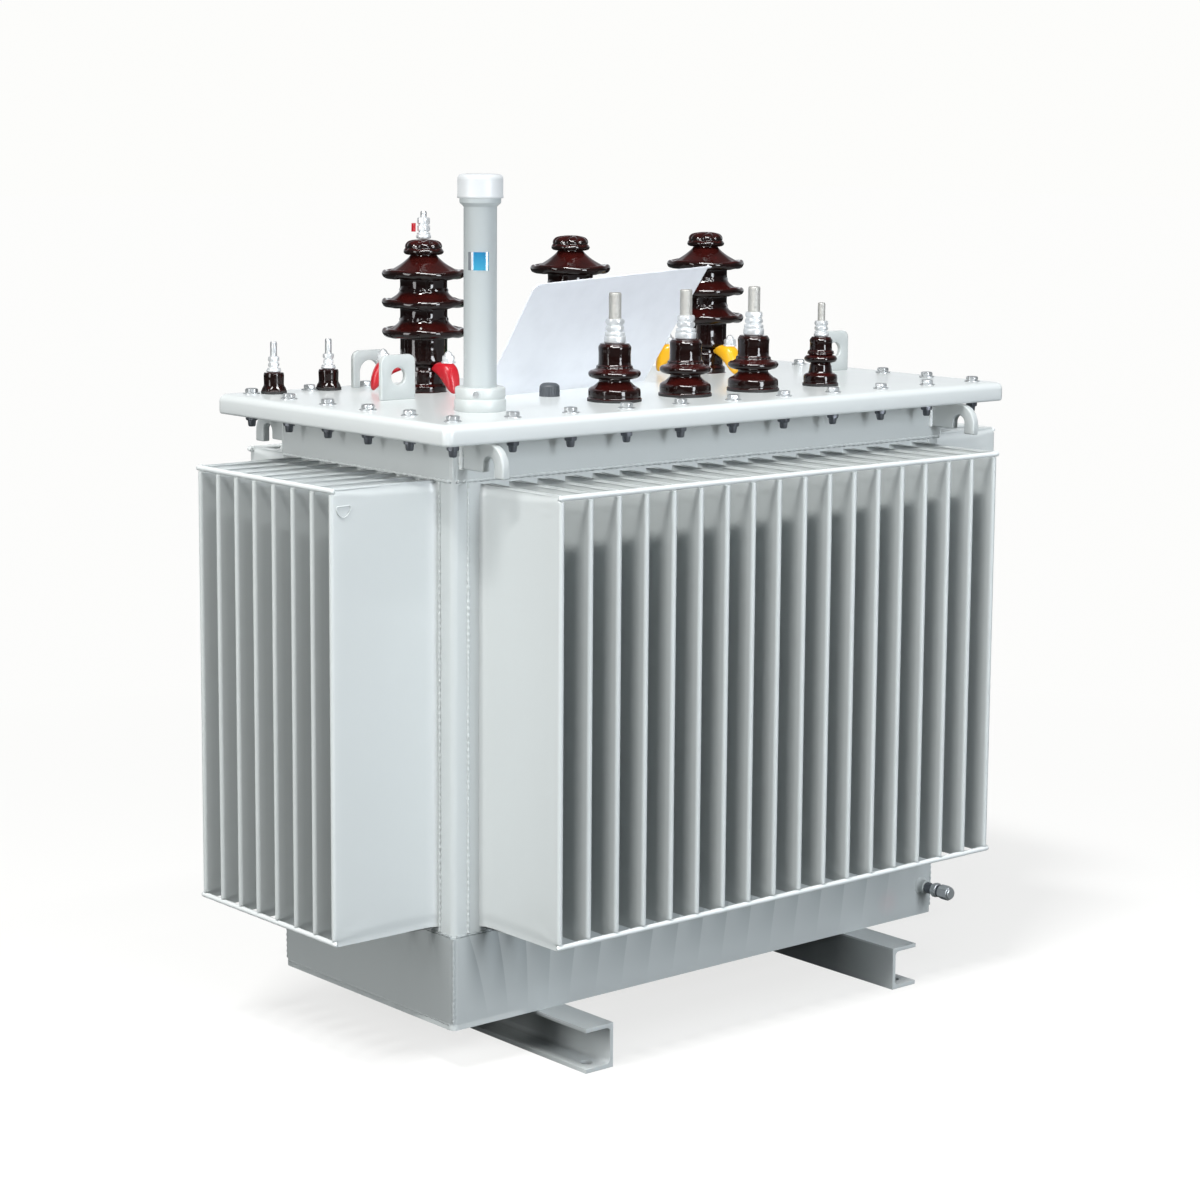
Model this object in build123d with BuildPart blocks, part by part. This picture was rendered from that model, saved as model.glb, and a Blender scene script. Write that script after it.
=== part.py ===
from build123d import *
import os

os.makedirs("parts", exist_ok=True)

# Oil-filled distribution transformer, millimetres. X runs along the tank, -Y is the low-voltage
# side, Z is up. The origin is at ground level under the middle of the tank.

# Clearance of parts that seat on curved or turned faces
seat_gap = 0.3

# The middle of a quarter round lies this share of its radius inside the sharp corner
arc_inset = 0.293

# Skids
skid_height = 65
skid_flange = 50
skid_thickness = 6
skid_length = 632
skid_web_spacing = 566
skid_root_radius = 6
skid_hole_radius = 9
skid_hole_inset = 25

# Tank
tank_length = 967
tank_width = 414
tank_corner_radius = 9
floor_thickness = 8
skirt_height = 124
skirt_wall = 5
wall_recess = 3
wall_thickness = 4
post_front_leg = 26
post_side_leg = 30
wall_top_z = 836

# Cooling fins
fin_thickness = 9
seam_thickness = 3
seam_height = 8
shoulder_height = 16
front_fin_depth = 168
side_fin_depth = 173
fin_bottom_z = 207
fin_top_z = 830
fin_tip_radius = 3
front_fin_pitch = 50
front_fin_margin = 20
side_fin_pitch = 46
side_fin_margin = 6
rod_radius = 4
rod_near_overhang = 2
rod_far_overhang = 14

# Tank top frame and flange
frame_wall = 5
flange_underside_z = 900
flange_thickness = 10
gasket_thickness = 4

# Cover
cover_end_overhang = 64.5
cover_side_overhang = 72
cover_plate = 9
lip_depth = 29
lip_thickness = 6
lip_clearance = 1.5
cover_corner_radius = 18
cover_edge_radius = 9

# Lifting hooks on the top frame
hook_inset = 21.5
hook_reach = 90
hook_thickness = 12
hook_top_drop = 8
hook_height = 45
hook_limb = 20
hook_slot = 23
hook_slot_height = 28
hook_root_rise = 6
hook_outer_radius = 30

# High-voltage bushings
hv_pitch = 281
hv_middle_x = -1
hv_y = 128
shed_radius = 62
shed_rim = 4.5
shed_slope = 18
core_radius = 35
neck_radius = 20
knob_radius = 30
shed_root_drop = 2
hv_foot_radius = 34
hv_foot_height = 9
hv_foot_slope = 4
hv_bulge_radius = 30
hv_bulge_top = 32
hv_groove_radius = 25
hv_groove_top = 42
hv_groove_slope = 2
shed_pitch = 43
first_shed_z = 89
hv_neck_z = 202
hv_neck_length = 4
knob_height = 23.5
knob_lip = 4
knob_shoulder = 5
hv_collar_radius = 11
hv_collar_height = 10
hv_nut_radius = 10
hv_nut_height = 10.5
hv_stud_radius = 4.7
hv_stud_top = 266

# Claws that clamp the high-voltage bushings
claw_turn = -40
claw_width = 22
claw_top = 45
claw_nose = 28
claw_clearance = 1
claw_edge = 3
claw_shoulder = 56
claw_back = 68
claw_back_drop = 6
claw_reach = 88
claw_heel_height = 14
claw_toe = 4
claw_foot = 22
claw_arch_radius = 57
claw_arch_height = 22
claw_tongue = 10
claw_bolt_radius = 46
claw_nut_radius = 9.5
claw_nut_height = 10
claw_stud_radius = 5
claw_stud_end = 15

# Low-voltage bushings
lv_pitch = 137
lv_first_x = -146
lv_y = -148
lv_base_radius = 38.5
lv_base_height = 20
lv_base_round = 5
lv_waist_radius = 23
lv_waist_z = 29
lv_shed_radius = 38.5
lv_shed_z = 39
lv_shed_rim = 6
lv_body_radius = 24
lv_body_top = 83
lv_body_round = 3
lv_collar_radius = 15.5
lv_collar_height = 17
lv_nut_radius = 14
lv_nut_height = 9
lv_stud_radius = 9.8
lv_stud_top = 156

# Neutral bushing, a smaller one in the same row
neutral_x = 270
neutral_base_radius = 26.5
neutral_base_height = 19
neutral_waist_radius = 15
neutral_waist_z = 34
neutral_shed_radius = 25.5
neutral_shed_z = 41
neutral_body_radius = 17.5
neutral_body_top = 75
neutral_collar_radius = 11.5
neutral_collar_height = 9
neutral_nut_radius = 11
neutral_nut_height = 7.5
neutral_stud_radius = 6
neutral_stud_top = 127

# Nuts of every terminal
nut_relief = 2
nut_step = 1

# Small pockets at the left end
aux_inset = 70
aux_pitch = 97
aux_side_inset = 47
aux_skirt_radius = 18
aux_skirt_height = 7
aux_shoulder_z = 12
aux_body_radius = 15
aux_body_top = 31
aux_bevel = 2
aux_collar_radius = 11
aux_collar_height = 7
aux_nut_radius = 8.5
aux_nut_height = 8
aux_stud_radius = 5
aux_stud_top = 76

# Thin seals under bushings and pockets
seal_thickness = 4
seal_overhang = 1

# Filler pipe with level window
pipe_inset = 162
pipe_y = -142
pipe_radius = 23
pipe_wall = 2.5
pipe_top = 281
bell_slope_z = 287
bell_end_z = 303
collar_radius = 36
collar_upper_radius = 35
collar_step = 17
collar_height = 33.5
collar_seat = 10
cap_radius = 32
cap_wall = 3
cap_bottom = 293
cap_top = 326.5
cap_round = 5
window_width = 28
window_height = 25
window_bottom = 195
window_turn = -45
window_thickness = 2

# Lifting eyes and handling loop on the cover
eye_width = 60
eye_height = 65
eye_plate = 8
eye_hole_radius = 12.5
eye_hole_z = 34
eye_corner_radius = 12
left_eye_inset = 160
left_eye_y = 50
right_eye_inset = 77
right_eye_y = 26
loop_spacing = 81.5
loop_y = 234
loop_width = 60
loop_height = 56
loop_limb = 12
loop_bar = 15
loop_corner_radius = 12

# Thermometer pocket
pocket_x = -177
pocket_y = -38
pocket_radius = 15
pocket_wall_height = 14
pocket_height = 20

# Blank rating-plate holder
panel_x = -271.5
panel_y = 2
panel_turn = 9
panel_lean = 32
panel_bottom = 367
panel_top = 383
panel_left_slant = 198
panel_right_slant = 214
panel_thickness = 2
panel_corner_radius = 11
panel_foot = 24
panel_tab_width = 60
panel_first_tab = 120
panel_second_tab = 270

# Drain valve
valve_inset = 25.5
valve_rise = 33
valve_reach = 79
valve_stub_radius = 8
valve_body_start = 16
valve_body_radius = 10
valve_body_length = 18
valve_ring_start = 38
valve_ring_radius = 12
valve_ring_length = 11
valve_cap_start = 52
valve_cap_radius = 12
valve_stub_inset = 4

# Heights and places that follow from the sizes above
floor_z = skid_height
skirt_z = floor_z + floor_thickness
wall_z = skirt_z + skirt_height
wall_height = wall_top_z - wall_z
wall_x = tank_length / 2 - wall_recess
wall_y = tank_width / 2 - wall_recess
gasket_z = flange_underside_z + flange_thickness
plate_z = gasket_z + gasket_thickness
deck_z = plate_z + cover_plate
lip_z = deck_z - lip_depth
fin_height = fin_top_z - fin_bottom_z
front_sheet = 2 * (wall_x - post_front_leg)
side_sheet = 2 * (wall_y - post_side_leg)
front_fin_room = front_sheet - fin_thickness - 2 * front_fin_margin
side_fin_room = side_sheet - fin_thickness - 2 * side_fin_margin
front_fin_count = 1 + int(front_fin_room / front_fin_pitch)
side_fin_count = 1 + int(side_fin_room / side_fin_pitch)
cover_length = tank_length + 2 * cover_end_overhang
cover_width = tank_width + 2 * cover_side_overhang
hook_x = tank_length / 2 - hook_inset
aux_first_x = aux_inset - cover_length / 2
aux_y = cover_width / 2 - aux_side_inset
pipe_x = pipe_inset - cover_length / 2
left_eye_x = left_eye_inset - cover_length / 2
right_eye_x = cover_length / 2 - right_eye_inset
loop_x = left_eye_x + loop_spacing
valve_x = tank_length / 2 - valve_inset
valve_z = skirt_z + valve_rise


def finish(part, name):
    """Label a finished piece and write it as one STEP file."""
    part.label = name
    export_step(part, f"parts/{name}.step")


# Skids: two channels under the tank, open sides outward
def skid(side, name):
    web_x = side * skid_web_spacing / 2
    with BuildPart() as channel:
        with BuildSketch(Plane.XZ.offset(-skid_length / 2)):
            with Locations((web_x + side * skid_flange / 2, skid_height / 2)):
                Rectangle(skid_flange, skid_height)
            with Locations((web_x + side * (skid_flange / 2 + skid_thickness), skid_height / 2)):
                Rectangle(skid_flange, skid_height - 2 * skid_thickness, mode=Mode.SUBTRACT)
        extrude(amount=skid_length)
        root_x = web_x + side * skid_thickness
        roots = channel.edges().filter_by(Axis.Y).filter_by_position(Axis.X, root_x - 0.1, root_x + 0.1)
        fillet(roots, skid_root_radius)
        hole_x = web_x + side * (skid_flange + skid_thickness) / 2
        hole_y = skid_length / 2 - skid_hole_inset
        with Locations((hole_x, hole_y, skid_thickness / 2), (hole_x, -hole_y, skid_thickness / 2)):
            Cylinder(skid_hole_radius, 2 * skid_thickness, mode=Mode.SUBTRACT)
    finish(channel.part, name)


skid(-1, "skid_left")
skid(1, "skid_right")

# Tank floor
with BuildPart() as tank_floor:
    with BuildSketch(Plane.XY.offset(floor_z)):
        RectangleRounded(tank_length, tank_width, tank_corner_radius)
    extrude(amount=floor_thickness)
finish(tank_floor.part, "tank_floor")

# Lower skirt of the tank, a folded ring
with BuildPart() as tank_skirt:
    with BuildSketch(Plane.XY.offset(skirt_z)):
        RectangleRounded(tank_length, tank_width, tank_corner_radius)
        offset(amount=-skirt_wall, mode=Mode.SUBTRACT)
    extrude(amount=skirt_height)
finish(tank_skirt.part, "tank_skirt")

# Corner posts: four folded angles between the corrugated walls
with BuildPart() as corner_posts:
    with BuildSketch(Plane.XY.offset(wall_z)):
        RectangleRounded(2 * wall_x, 2 * wall_y, tank_corner_radius)
        offset(amount=-wall_thickness, mode=Mode.SUBTRACT)
        Rectangle(2 * (wall_x - post_front_leg), 2 * tank_width, mode=Mode.SUBTRACT)
        Rectangle(2 * tank_length, 2 * (wall_y - post_side_leg), mode=Mode.SUBTRACT)
    extrude(amount=wall_height)
finish(corner_posts.part, "corner_posts")


# Corrugated walls: one folded sheet with hollow fins, its ends pinched flat and welded
def corrugated_wall(face, sheet_width, count, pitch, depth, name):
    """Build on a plane whose x runs along the wall, y up and z outward."""
    half = fin_thickness / 2
    half_seam = seam_thickness / 2
    seam_low = fin_bottom_z + seam_height
    body_low = seam_low + shoulder_height
    seam_high = fin_top_z - seam_height
    body_high = seam_high - shoulder_height
    with BuildPart() as wall:
        with BuildSketch(face):
            with GridLocations(pitch, 1, count, 1):
                Polygon(
                    (half_seam, fin_bottom_z),
                    (half_seam, seam_low),
                    (half, body_low),
                    (half, body_high),
                    (half_seam, seam_high),
                    (half_seam, fin_top_z),
                    (-half_seam, fin_top_z),
                    (-half_seam, seam_high),
                    (-half, body_high),
                    (-half, body_low),
                    (-half_seam, seam_low),
                    (-half_seam, fin_bottom_z),
                    align=None,
                )
        extrude(amount=depth)
        plan = Plane(face.origin + Vector(0, 0, fin_bottom_z), x_dir=face.x_dir, z_dir=(0, 0, 1))
        with BuildSketch(plan) as plan_outline:
            with GridLocations(pitch, 1, count, 1):
                with Locations((0, -depth / 2)):
                    Rectangle(fin_thickness, depth)
            fillet(plan_outline.vertices().group_by(Axis.Y)[0], fin_tip_radius)
        extrude(amount=fin_height, mode=Mode.INTERSECT)
        with Locations(face):
            with Locations(
                (0, fin_bottom_z + rod_radius, depth - rod_radius),
                (0, fin_top_z - rod_radius, depth - rod_radius),
            ):
                Box(2 * sheet_width, 2 * rod_radius, 2 * rod_radius, mode=Mode.SUBTRACT)
        with BuildSketch(face):
            with Locations((0, wall_z + wall_height / 2)):
                Rectangle(sheet_width, wall_height)
        extrude(amount=-wall_thickness)
    finish(wall.part, name)


# Tie rods: a round bar in the corner of the fin tips, along the top and the bottom
def tie_rods(face, far_side, count, pitch, depth, name):
    """far_side is 1 where the longer overhang lies towards the plane's x, else -1."""
    length = (count - 1) * pitch + fin_thickness + rod_near_overhang + rod_far_overhang
    middle = far_side * (rod_far_overhang - rod_near_overhang) / 2
    with BuildPart() as rods:
        with Locations(face):
            with Locations(
                (middle, fin_bottom_z + rod_radius, depth - rod_radius),
                (middle, fin_top_z - rod_radius, depth - rod_radius),
            ):
                Cylinder(rod_radius, length, rotation=(0, 90, 0))
    finish(rods.part, name)


front_face = Plane((0, -wall_y, 0), x_dir=(1, 0, 0), z_dir=(0, -1, 0))
rear_face = Plane((0, wall_y, 0), x_dir=(-1, 0, 0), z_dir=(0, 1, 0))
left_face = Plane((-wall_x, 0, 0), x_dir=(0, -1, 0), z_dir=(-1, 0, 0))
right_face = Plane((wall_x, 0, 0), x_dir=(0, 1, 0), z_dir=(1, 0, 0))

for face, side_name in ((front_face, "front"), (rear_face, "rear")):
    corrugated_wall(
        face, front_sheet, front_fin_count, front_fin_pitch, front_fin_depth, f"corrugated_wall_{side_name}"
    )
    tie_rods(face, 1, front_fin_count, front_fin_pitch, front_fin_depth, f"fin_rods_{side_name}")
for face, side_name in ((left_face, "left"), (right_face, "right")):
    corrugated_wall(
        face, side_sheet, side_fin_count, side_fin_pitch, side_fin_depth, f"corrugated_wall_{side_name}"
    )
    tie_rods(face, -1, side_fin_count, side_fin_pitch, side_fin_depth, f"fin_rods_{side_name}")

# Upper frame: the plain band between the fins and the cover
with BuildPart() as upper_frame:
    with BuildSketch(Plane.XY.offset(wall_top_z)):
        RectangleRounded(tank_length, tank_width, tank_corner_radius)
        offset(amount=-frame_wall, mode=Mode.SUBTRACT)
    extrude(amount=flange_underside_z - wall_top_z)
finish(upper_frame.part, "upper_frame")

# Flange that the cover is bolted to, hidden inside the cover's folded lip
flange_length = cover_length - 2 * (lip_thickness + lip_clearance)
flange_width = cover_width - 2 * (lip_thickness + lip_clearance)
flange_corner = cover_corner_radius - lip_thickness - lip_clearance
with BuildPart() as tank_flange:
    with BuildSketch(Plane.XY.offset(flange_underside_z)):
        RectangleRounded(flange_length, flange_width, flange_corner)
        Rectangle(tank_length - 2 * frame_wall, tank_width - 2 * frame_wall, mode=Mode.SUBTRACT)
    extrude(amount=flange_thickness)
finish(tank_flange.part, "tank_flange")

with BuildPart() as cover_gasket:
    with BuildSketch(Plane.XY.offset(gasket_z)):
        RectangleRounded(flange_length, flange_width, flange_corner)
        Rectangle(tank_length - 2 * frame_wall, tank_width - 2 * frame_wall, mode=Mode.SUBTRACT)
    extrude(amount=gasket_thickness)
finish(cover_gasket.part, "cover_gasket")

# Cover: a plate with a rounded, folded-down lip all round
with BuildPart() as cover:
    with BuildSketch(Plane.XY.offset(lip_z)):
        RectangleRounded(cover_length, cover_width, cover_corner_radius)
    extrude(amount=lip_depth)
    fillet(cover.faces().sort_by(Axis.Z)[-1].edges(), cover_edge_radius)
    with BuildSketch(Plane.XY.offset(lip_z)):
        RectangleRounded(
            cover_length - 2 * lip_thickness,
            cover_width - 2 * lip_thickness,
            cover_corner_radius - lip_thickness,
        )
    extrude(amount=plate_z - lip_z, mode=Mode.SUBTRACT)
finish(cover.part, "cover")

# Lifting hooks: four plates at the corners of the upper frame
hook_top_z = flange_underside_z - hook_top_drop
hook_tip_z = hook_top_z - hook_height
hook_wall_y = tank_width / 2
slot_middle_y = hook_wall_y + hook_reach - hook_limb - hook_slot / 2
slot_straight = hook_slot_height - hook_slot / 2
with BuildPart() as lifting_hooks:
    with BuildSketch(Plane.YZ.offset(hook_x - hook_thickness / 2)) as hook_outline:
        with Locations((hook_wall_y + hook_reach / 2, hook_top_z - hook_height / 2)):
            Rectangle(hook_reach, hook_height)
        fillet(hook_outline.vertices().sort_by(Axis.X)[-2:].sort_by(Axis.Y)[-1], hook_outer_radius)
        with Locations((slot_middle_y, hook_tip_z + slot_straight / 2)):
            Rectangle(hook_slot, slot_straight, mode=Mode.SUBTRACT)
        with Locations((slot_middle_y, hook_tip_z + slot_straight)):
            Circle(hook_slot / 2, mode=Mode.SUBTRACT)
        with Locations((hook_wall_y, hook_tip_z)):
            Rectangle(2 * (hook_reach - hook_limb - hook_slot), 2 * hook_root_rise, mode=Mode.SUBTRACT)
    extrude(amount=hook_thickness)
    mirror(about=Plane.XZ)
    mirror(about=Plane.YZ)
finish(lifting_hooks.part, "lifting_hooks")


# Turned pieces: each is a profile in radius and height, turned about an upright axis on the cover
def axis_plane(x, y):
    return Plane((x, y, deck_z), x_dir=(1, 0, 0), z_dir=(0, -1, 0))


def high_voltage_bushing(x, name):
    """Porcelain with three sheds, a long neck and a knob, on a grooved foot."""
    with BuildPart() as bushing:
        with BuildSketch(axis_plane(x, hv_y)):
            with BuildLine():
                foot = Polyline(
                    (0, seat_gap),
                    (hv_foot_radius, seat_gap),
                    (hv_foot_radius, hv_foot_height),
                    (hv_bulge_radius, hv_foot_height + hv_foot_slope),
                    (hv_bulge_radius, hv_bulge_top),
                    (hv_groove_radius, hv_bulge_top),
                    (hv_groove_radius, hv_groove_top - hv_groove_slope),
                    (core_radius, hv_groove_top),
                )
                end = foot @ 1
                for level in range(3):
                    rim_z = first_shed_z + level * shed_pitch
                    root = Line(end, (core_radius, rim_z - shed_root_drop))
                    under = Line(root @ 1, (shed_radius - shed_rim, rim_z - shed_rim))
                    rim_top = (shed_radius - shed_rim, rim_z + shed_rim)
                    rim = ThreePointArc(under @ 1, (shed_radius, rim_z), rim_top)
                    top_radius = neck_radius if level == 2 else core_radius
                    cone_z = hv_neck_z - hv_neck_length if level == 2 else rim_z + shed_slope
                    cone = Line(rim @ 1, (top_radius, cone_z))
                    end = cone @ 1
                neck = Line(end, (neck_radius, hv_neck_z))
                knob_low = Line(neck @ 1, (knob_radius - knob_lip, hv_neck_z))
                knob_side = ThreePointArc(
                    knob_low @ 1,
                    (knob_radius, hv_neck_z + knob_height / 3),
                    (knob_radius - knob_shoulder, hv_neck_z + knob_height * 0.7),
                )
                knob_top = ThreePointArc(
                    knob_side @ 1,
                    (knob_radius / 2, hv_neck_z + knob_height * 0.93),
                    (knob_radius / 5, hv_neck_z + knob_height),
                )
                Polyline(knob_top @ 1, (0, hv_neck_z + knob_height), foot @ 0)
            make_face()
        revolve(axis=Axis((x, hv_y, 0), (0, 0, 1)))
    finish(bushing.part, name)


def low_voltage_bushing(
    x, base_radius, base_top, waist_radius, waist_z, shed_z, rim_radius, radius, top, name
):
    """Porcelain with a flared base, one shed and a plain upper body."""
    base_inset = arc_inset * lv_base_round
    body_inset = arc_inset * lv_body_round
    with BuildPart() as bushing:
        with BuildSketch(axis_plane(x, lv_y)):
            with BuildLine():
                base = Polyline(
                    (0, seal_thickness),
                    (base_radius, seal_thickness),
                    (base_radius, base_top - lv_base_round),
                )
                shoulder = ThreePointArc(
                    base @ 1,
                    (base_radius - base_inset, base_top - base_inset),
                    (base_radius - lv_base_round, base_top),
                )
                waist = Polyline(
                    shoulder @ 1,
                    (waist_radius, waist_z),
                    (rim_radius - lv_shed_rim, shed_z - lv_shed_rim),
                )
                edge = ThreePointArc(
                    waist @ 1, (rim_radius, shed_z), (rim_radius - lv_shed_rim, shed_z + lv_shed_rim)
                )
                body = Polyline(edge @ 1, (radius, shed_z + 2 * lv_shed_rim), (radius, top - lv_body_round))
                brow = ThreePointArc(
                    body @ 1,
                    (radius - body_inset, top - body_inset),
                    (radius - lv_body_round, top),
                )
                lid = Line(brow @ 1, (0, top))
                Line(lid @ 1, base @ 0)
            make_face()
        revolve(axis=Axis((x, lv_y, 0), (0, 0, 1)))
    finish(bushing.part, name)


def terminal(x, y, foot, collar_radius, collar_height, nut_radius, nut_height, stud_radius, top, name):
    """Collar, two hexagon nuts and a stud, standing at a height above the cover."""
    with BuildPart() as terminal_part:
        with BuildSketch(Plane((x, y, deck_z + foot + seat_gap))):
            Circle(collar_radius)
        extrude(amount=collar_height)
        for step in range(2):
            nut_z = deck_z + foot + seat_gap + collar_height + step * nut_height
            with BuildSketch(Plane((x, y, nut_z))):
                Circle(nut_radius - nut_relief)
            extrude(amount=nut_height)
            with BuildSketch(Plane((x, y, nut_z + nut_step))):
                RegularPolygon(nut_radius, 6)
            extrude(amount=nut_height - nut_step)
        with BuildSketch(Plane((x, y, deck_z + foot + seat_gap))):
            Circle(stud_radius)
        extrude(amount=top - foot - seat_gap)
    finish(terminal_part.part, name)


# High-voltage clamps: two claws press each bushing's groove down, held by studs
def claws(x, name):
    line = Plane((x, hv_y, deck_z)).rotated((0, 0, claw_turn))
    lip_top = hv_groove_top - hv_groove_slope - seat_gap
    with BuildPart() as clamp:
        for way in (1, -1):
            side = Plane(line.origin, x_dir=line.x_dir * way, z_dir=line.y_dir * -way)
            with BuildSketch(side) as claw_outline:
                with BuildLine():
                    back = Polyline(
                        (claw_nose, hv_bulge_top + seat_gap),
                        (claw_nose, lip_top),
                        (core_radius + claw_clearance, lip_top),
                        (core_radius + claw_clearance, claw_top - claw_edge),
                        (core_radius + claw_clearance + claw_edge, claw_top),
                        (claw_shoulder, claw_top),
                        (claw_back, claw_top - claw_back_drop),
                        (claw_reach, claw_heel_height),
                        (claw_reach - claw_toe, seat_gap),
                        (claw_reach - claw_toe - claw_foot, seat_gap),
                    )
                    arch = ThreePointArc(
                        back @ 1,
                        (claw_arch_radius, claw_arch_height),
                        (claw_nose + claw_tongue, hv_bulge_top + seat_gap),
                    )
                    Line(arch @ 1, back @ 0)
                make_face()
            extrude(amount=claw_width / 2, both=True)
            stud = line.origin + line.x_dir * (way * claw_bolt_radius)
            with BuildSketch(Plane(stud + Vector(0, 0, claw_top))):
                RegularPolygon(claw_nut_radius, 6)
            extrude(amount=claw_nut_height)
            with BuildSketch(Plane(stud + Vector(0, 0, seat_gap))):
                Circle(claw_stud_radius)
            extrude(amount=claw_top + claw_stud_end)
    finish(clamp.part, name)


for place, phase_name, phase_colour in ((-1, "left", "red"), (0, "middle", "green"), (1, "right", "yellow")):
    bushing_x = hv_middle_x + place * hv_pitch
    high_voltage_bushing(bushing_x, f"hv_bushing_{phase_name}")
    claws(bushing_x, f"hv_clamp_{phase_colour}")
terminal(
    hv_middle_x - hv_pitch,
    hv_y,
    hv_neck_z + knob_height,
    hv_collar_radius,
    hv_collar_height,
    hv_nut_radius,
    hv_nut_height,
    hv_stud_radius,
    hv_stud_top,
    "hv_terminal_left",
)

for number in range(3):
    lv_x = lv_first_x + number * lv_pitch
    low_voltage_bushing(
        lv_x,
        lv_base_radius,
        lv_base_height,
        lv_waist_radius,
        lv_waist_z,
        lv_shed_z,
        lv_shed_radius,
        lv_body_radius,
        lv_body_top,
        f"lv_bushing_{number + 1}",
    )
    terminal(
        lv_x,
        lv_y,
        lv_body_top,
        lv_collar_radius,
        lv_collar_height,
        lv_nut_radius,
        lv_nut_height,
        lv_stud_radius,
        lv_stud_top,
        f"lv_terminal_{number + 1}",
    )
low_voltage_bushing(
    neutral_x,
    neutral_base_radius,
    neutral_base_height,
    neutral_waist_radius,
    neutral_waist_z,
    neutral_shed_z,
    neutral_shed_radius,
    neutral_body_radius,
    neutral_body_top,
    "neutral_bushing",
)
terminal(
    neutral_x,
    lv_y,
    neutral_body_top,
    neutral_collar_radius,
    neutral_collar_height,
    neutral_nut_radius,
    neutral_nut_height,
    neutral_stud_radius,
    neutral_stud_top,
    "neutral_terminal",
)

# Small pockets near the left end, each with its own stud
with BuildPart() as aux_bushings:
    for number in range(2):
        aux_x = aux_first_x + number * aux_pitch
        with BuildSketch(axis_plane(aux_x, aux_y)):
            with BuildLine():
                Polyline(
                    (0, seal_thickness),
                    (aux_skirt_radius, seal_thickness),
                    (aux_skirt_radius, aux_skirt_height),
                    (aux_body_radius, aux_shoulder_z),
                    (aux_body_radius, aux_body_top - aux_bevel),
                    (aux_body_radius - aux_bevel, aux_body_top),
                    (0, aux_body_top),
                    close=True,
                )
            make_face()
        revolve(axis=Axis((aux_x, aux_y, 0), (0, 0, 1)))
finish(aux_bushings.part, "aux_bushings")
for number in range(2):
    aux_x = aux_first_x + number * aux_pitch
    terminal(
        aux_x,
        aux_y,
        aux_body_top,
        aux_collar_radius,
        aux_collar_height,
        aux_nut_radius,
        aux_nut_height,
        aux_stud_radius,
        aux_stud_top,
        f"aux_terminal_{number + 1}",
    )

# Rubber seals between the cover and the turned porcelain
with BuildPart() as bushing_seals:
    with BuildSketch(Plane.XY.offset(deck_z)):
        for number in range(3):
            with Locations((lv_first_x + number * lv_pitch, lv_y)):
                Circle(lv_base_radius + seal_overhang)
        with Locations((neutral_x, lv_y)):
            Circle(neutral_base_radius + seal_overhang)
        for number in range(2):
            with Locations((aux_first_x + number * aux_pitch, aux_y)):
                Circle(aux_skirt_radius + seal_overhang)
    extrude(amount=seal_thickness)
finish(bushing_seals.part, "bushing_seals")

# Filler pipe: collar on the cover, tube with a bell end, screw cap, level window
with BuildPart() as filler_collar:
    with BuildSketch(Plane((pipe_x, pipe_y, deck_z))):
        Circle(collar_radius)
    extrude(amount=collar_height)
    with BuildSketch(Plane((pipe_x, pipe_y, deck_z + collar_step))):
        Circle(collar_radius)
        Circle(collar_upper_radius, mode=Mode.SUBTRACT)
    extrude(amount=collar_height, mode=Mode.SUBTRACT)
    with BuildSketch(Plane((pipe_x, pipe_y, deck_z + collar_seat))):
        Circle(pipe_radius + seat_gap)
    extrude(amount=collar_height, mode=Mode.SUBTRACT)
finish(filler_collar.part, "filler_collar")

bell_radius = cap_radius - cap_wall - seat_gap
with BuildPart() as filler_pipe:
    with BuildSketch(axis_plane(pipe_x, pipe_y)):
        with BuildLine():
            Polyline(
                (pipe_radius - pipe_wall, collar_seat),
                (pipe_radius, collar_seat),
                (pipe_radius, pipe_top),
                (bell_radius, bell_slope_z),
                (bell_radius, bell_end_z),
                (bell_radius - pipe_wall, bell_end_z),
                (bell_radius - pipe_wall, bell_slope_z),
                (pipe_radius - pipe_wall, pipe_top),
                close=True,
            )
        make_face()
    revolve(axis=Axis((pipe_x, pipe_y, 0), (0, 0, 1)))
finish(filler_pipe.part, "filler_pipe")

with BuildPart() as filler_cap:
    with BuildSketch(Plane((pipe_x, pipe_y, deck_z + cap_bottom))):
        Circle(cap_radius)
    extrude(amount=cap_top - cap_bottom)
    fillet(filler_cap.edges().sort_by(Axis.Z)[-1], cap_round)
    with BuildSketch(Plane((pipe_x, pipe_y, deck_z + cap_bottom))):
        Circle(bell_radius + seat_gap)
    extrude(amount=bell_end_z - cap_bottom, mode=Mode.SUBTRACT)
finish(filler_cap.part, "filler_cap")

with BuildPart() as level_window:
    with BuildSketch(Plane((pipe_x, pipe_y, deck_z + window_bottom)).rotated((0, 0, window_turn))):
        Circle(pipe_radius + window_thickness)
        Circle(pipe_radius + seat_gap, mode=Mode.SUBTRACT)
        with Locations((0, -pipe_radius)):
            Rectangle(window_width, pipe_radius, mode=Mode.INTERSECT)
    extrude(amount=window_height)
finish(level_window.part, "level_window")

# Lifting eyes on the cover
with BuildPart() as cover_lifting_eyes:
    for eye_x, eye_y in ((left_eye_x, left_eye_y), (right_eye_x, right_eye_y)):
        with BuildSketch(Plane((eye_x, eye_y, deck_z), x_dir=(1, 0, 0), z_dir=(0, -1, 0))) as eye_outline:
            with Locations((0, eye_height / 2)):
                Rectangle(eye_width, eye_height)
            fillet(eye_outline.vertices().group_by(Axis.Y)[-1], eye_corner_radius)
            with Locations((0, eye_hole_z)):
                Circle(eye_hole_radius, mode=Mode.SUBTRACT)
        extrude(amount=eye_plate / 2, both=True)
finish(cover_lifting_eyes.part, "cover_lifting_eyes")

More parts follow.
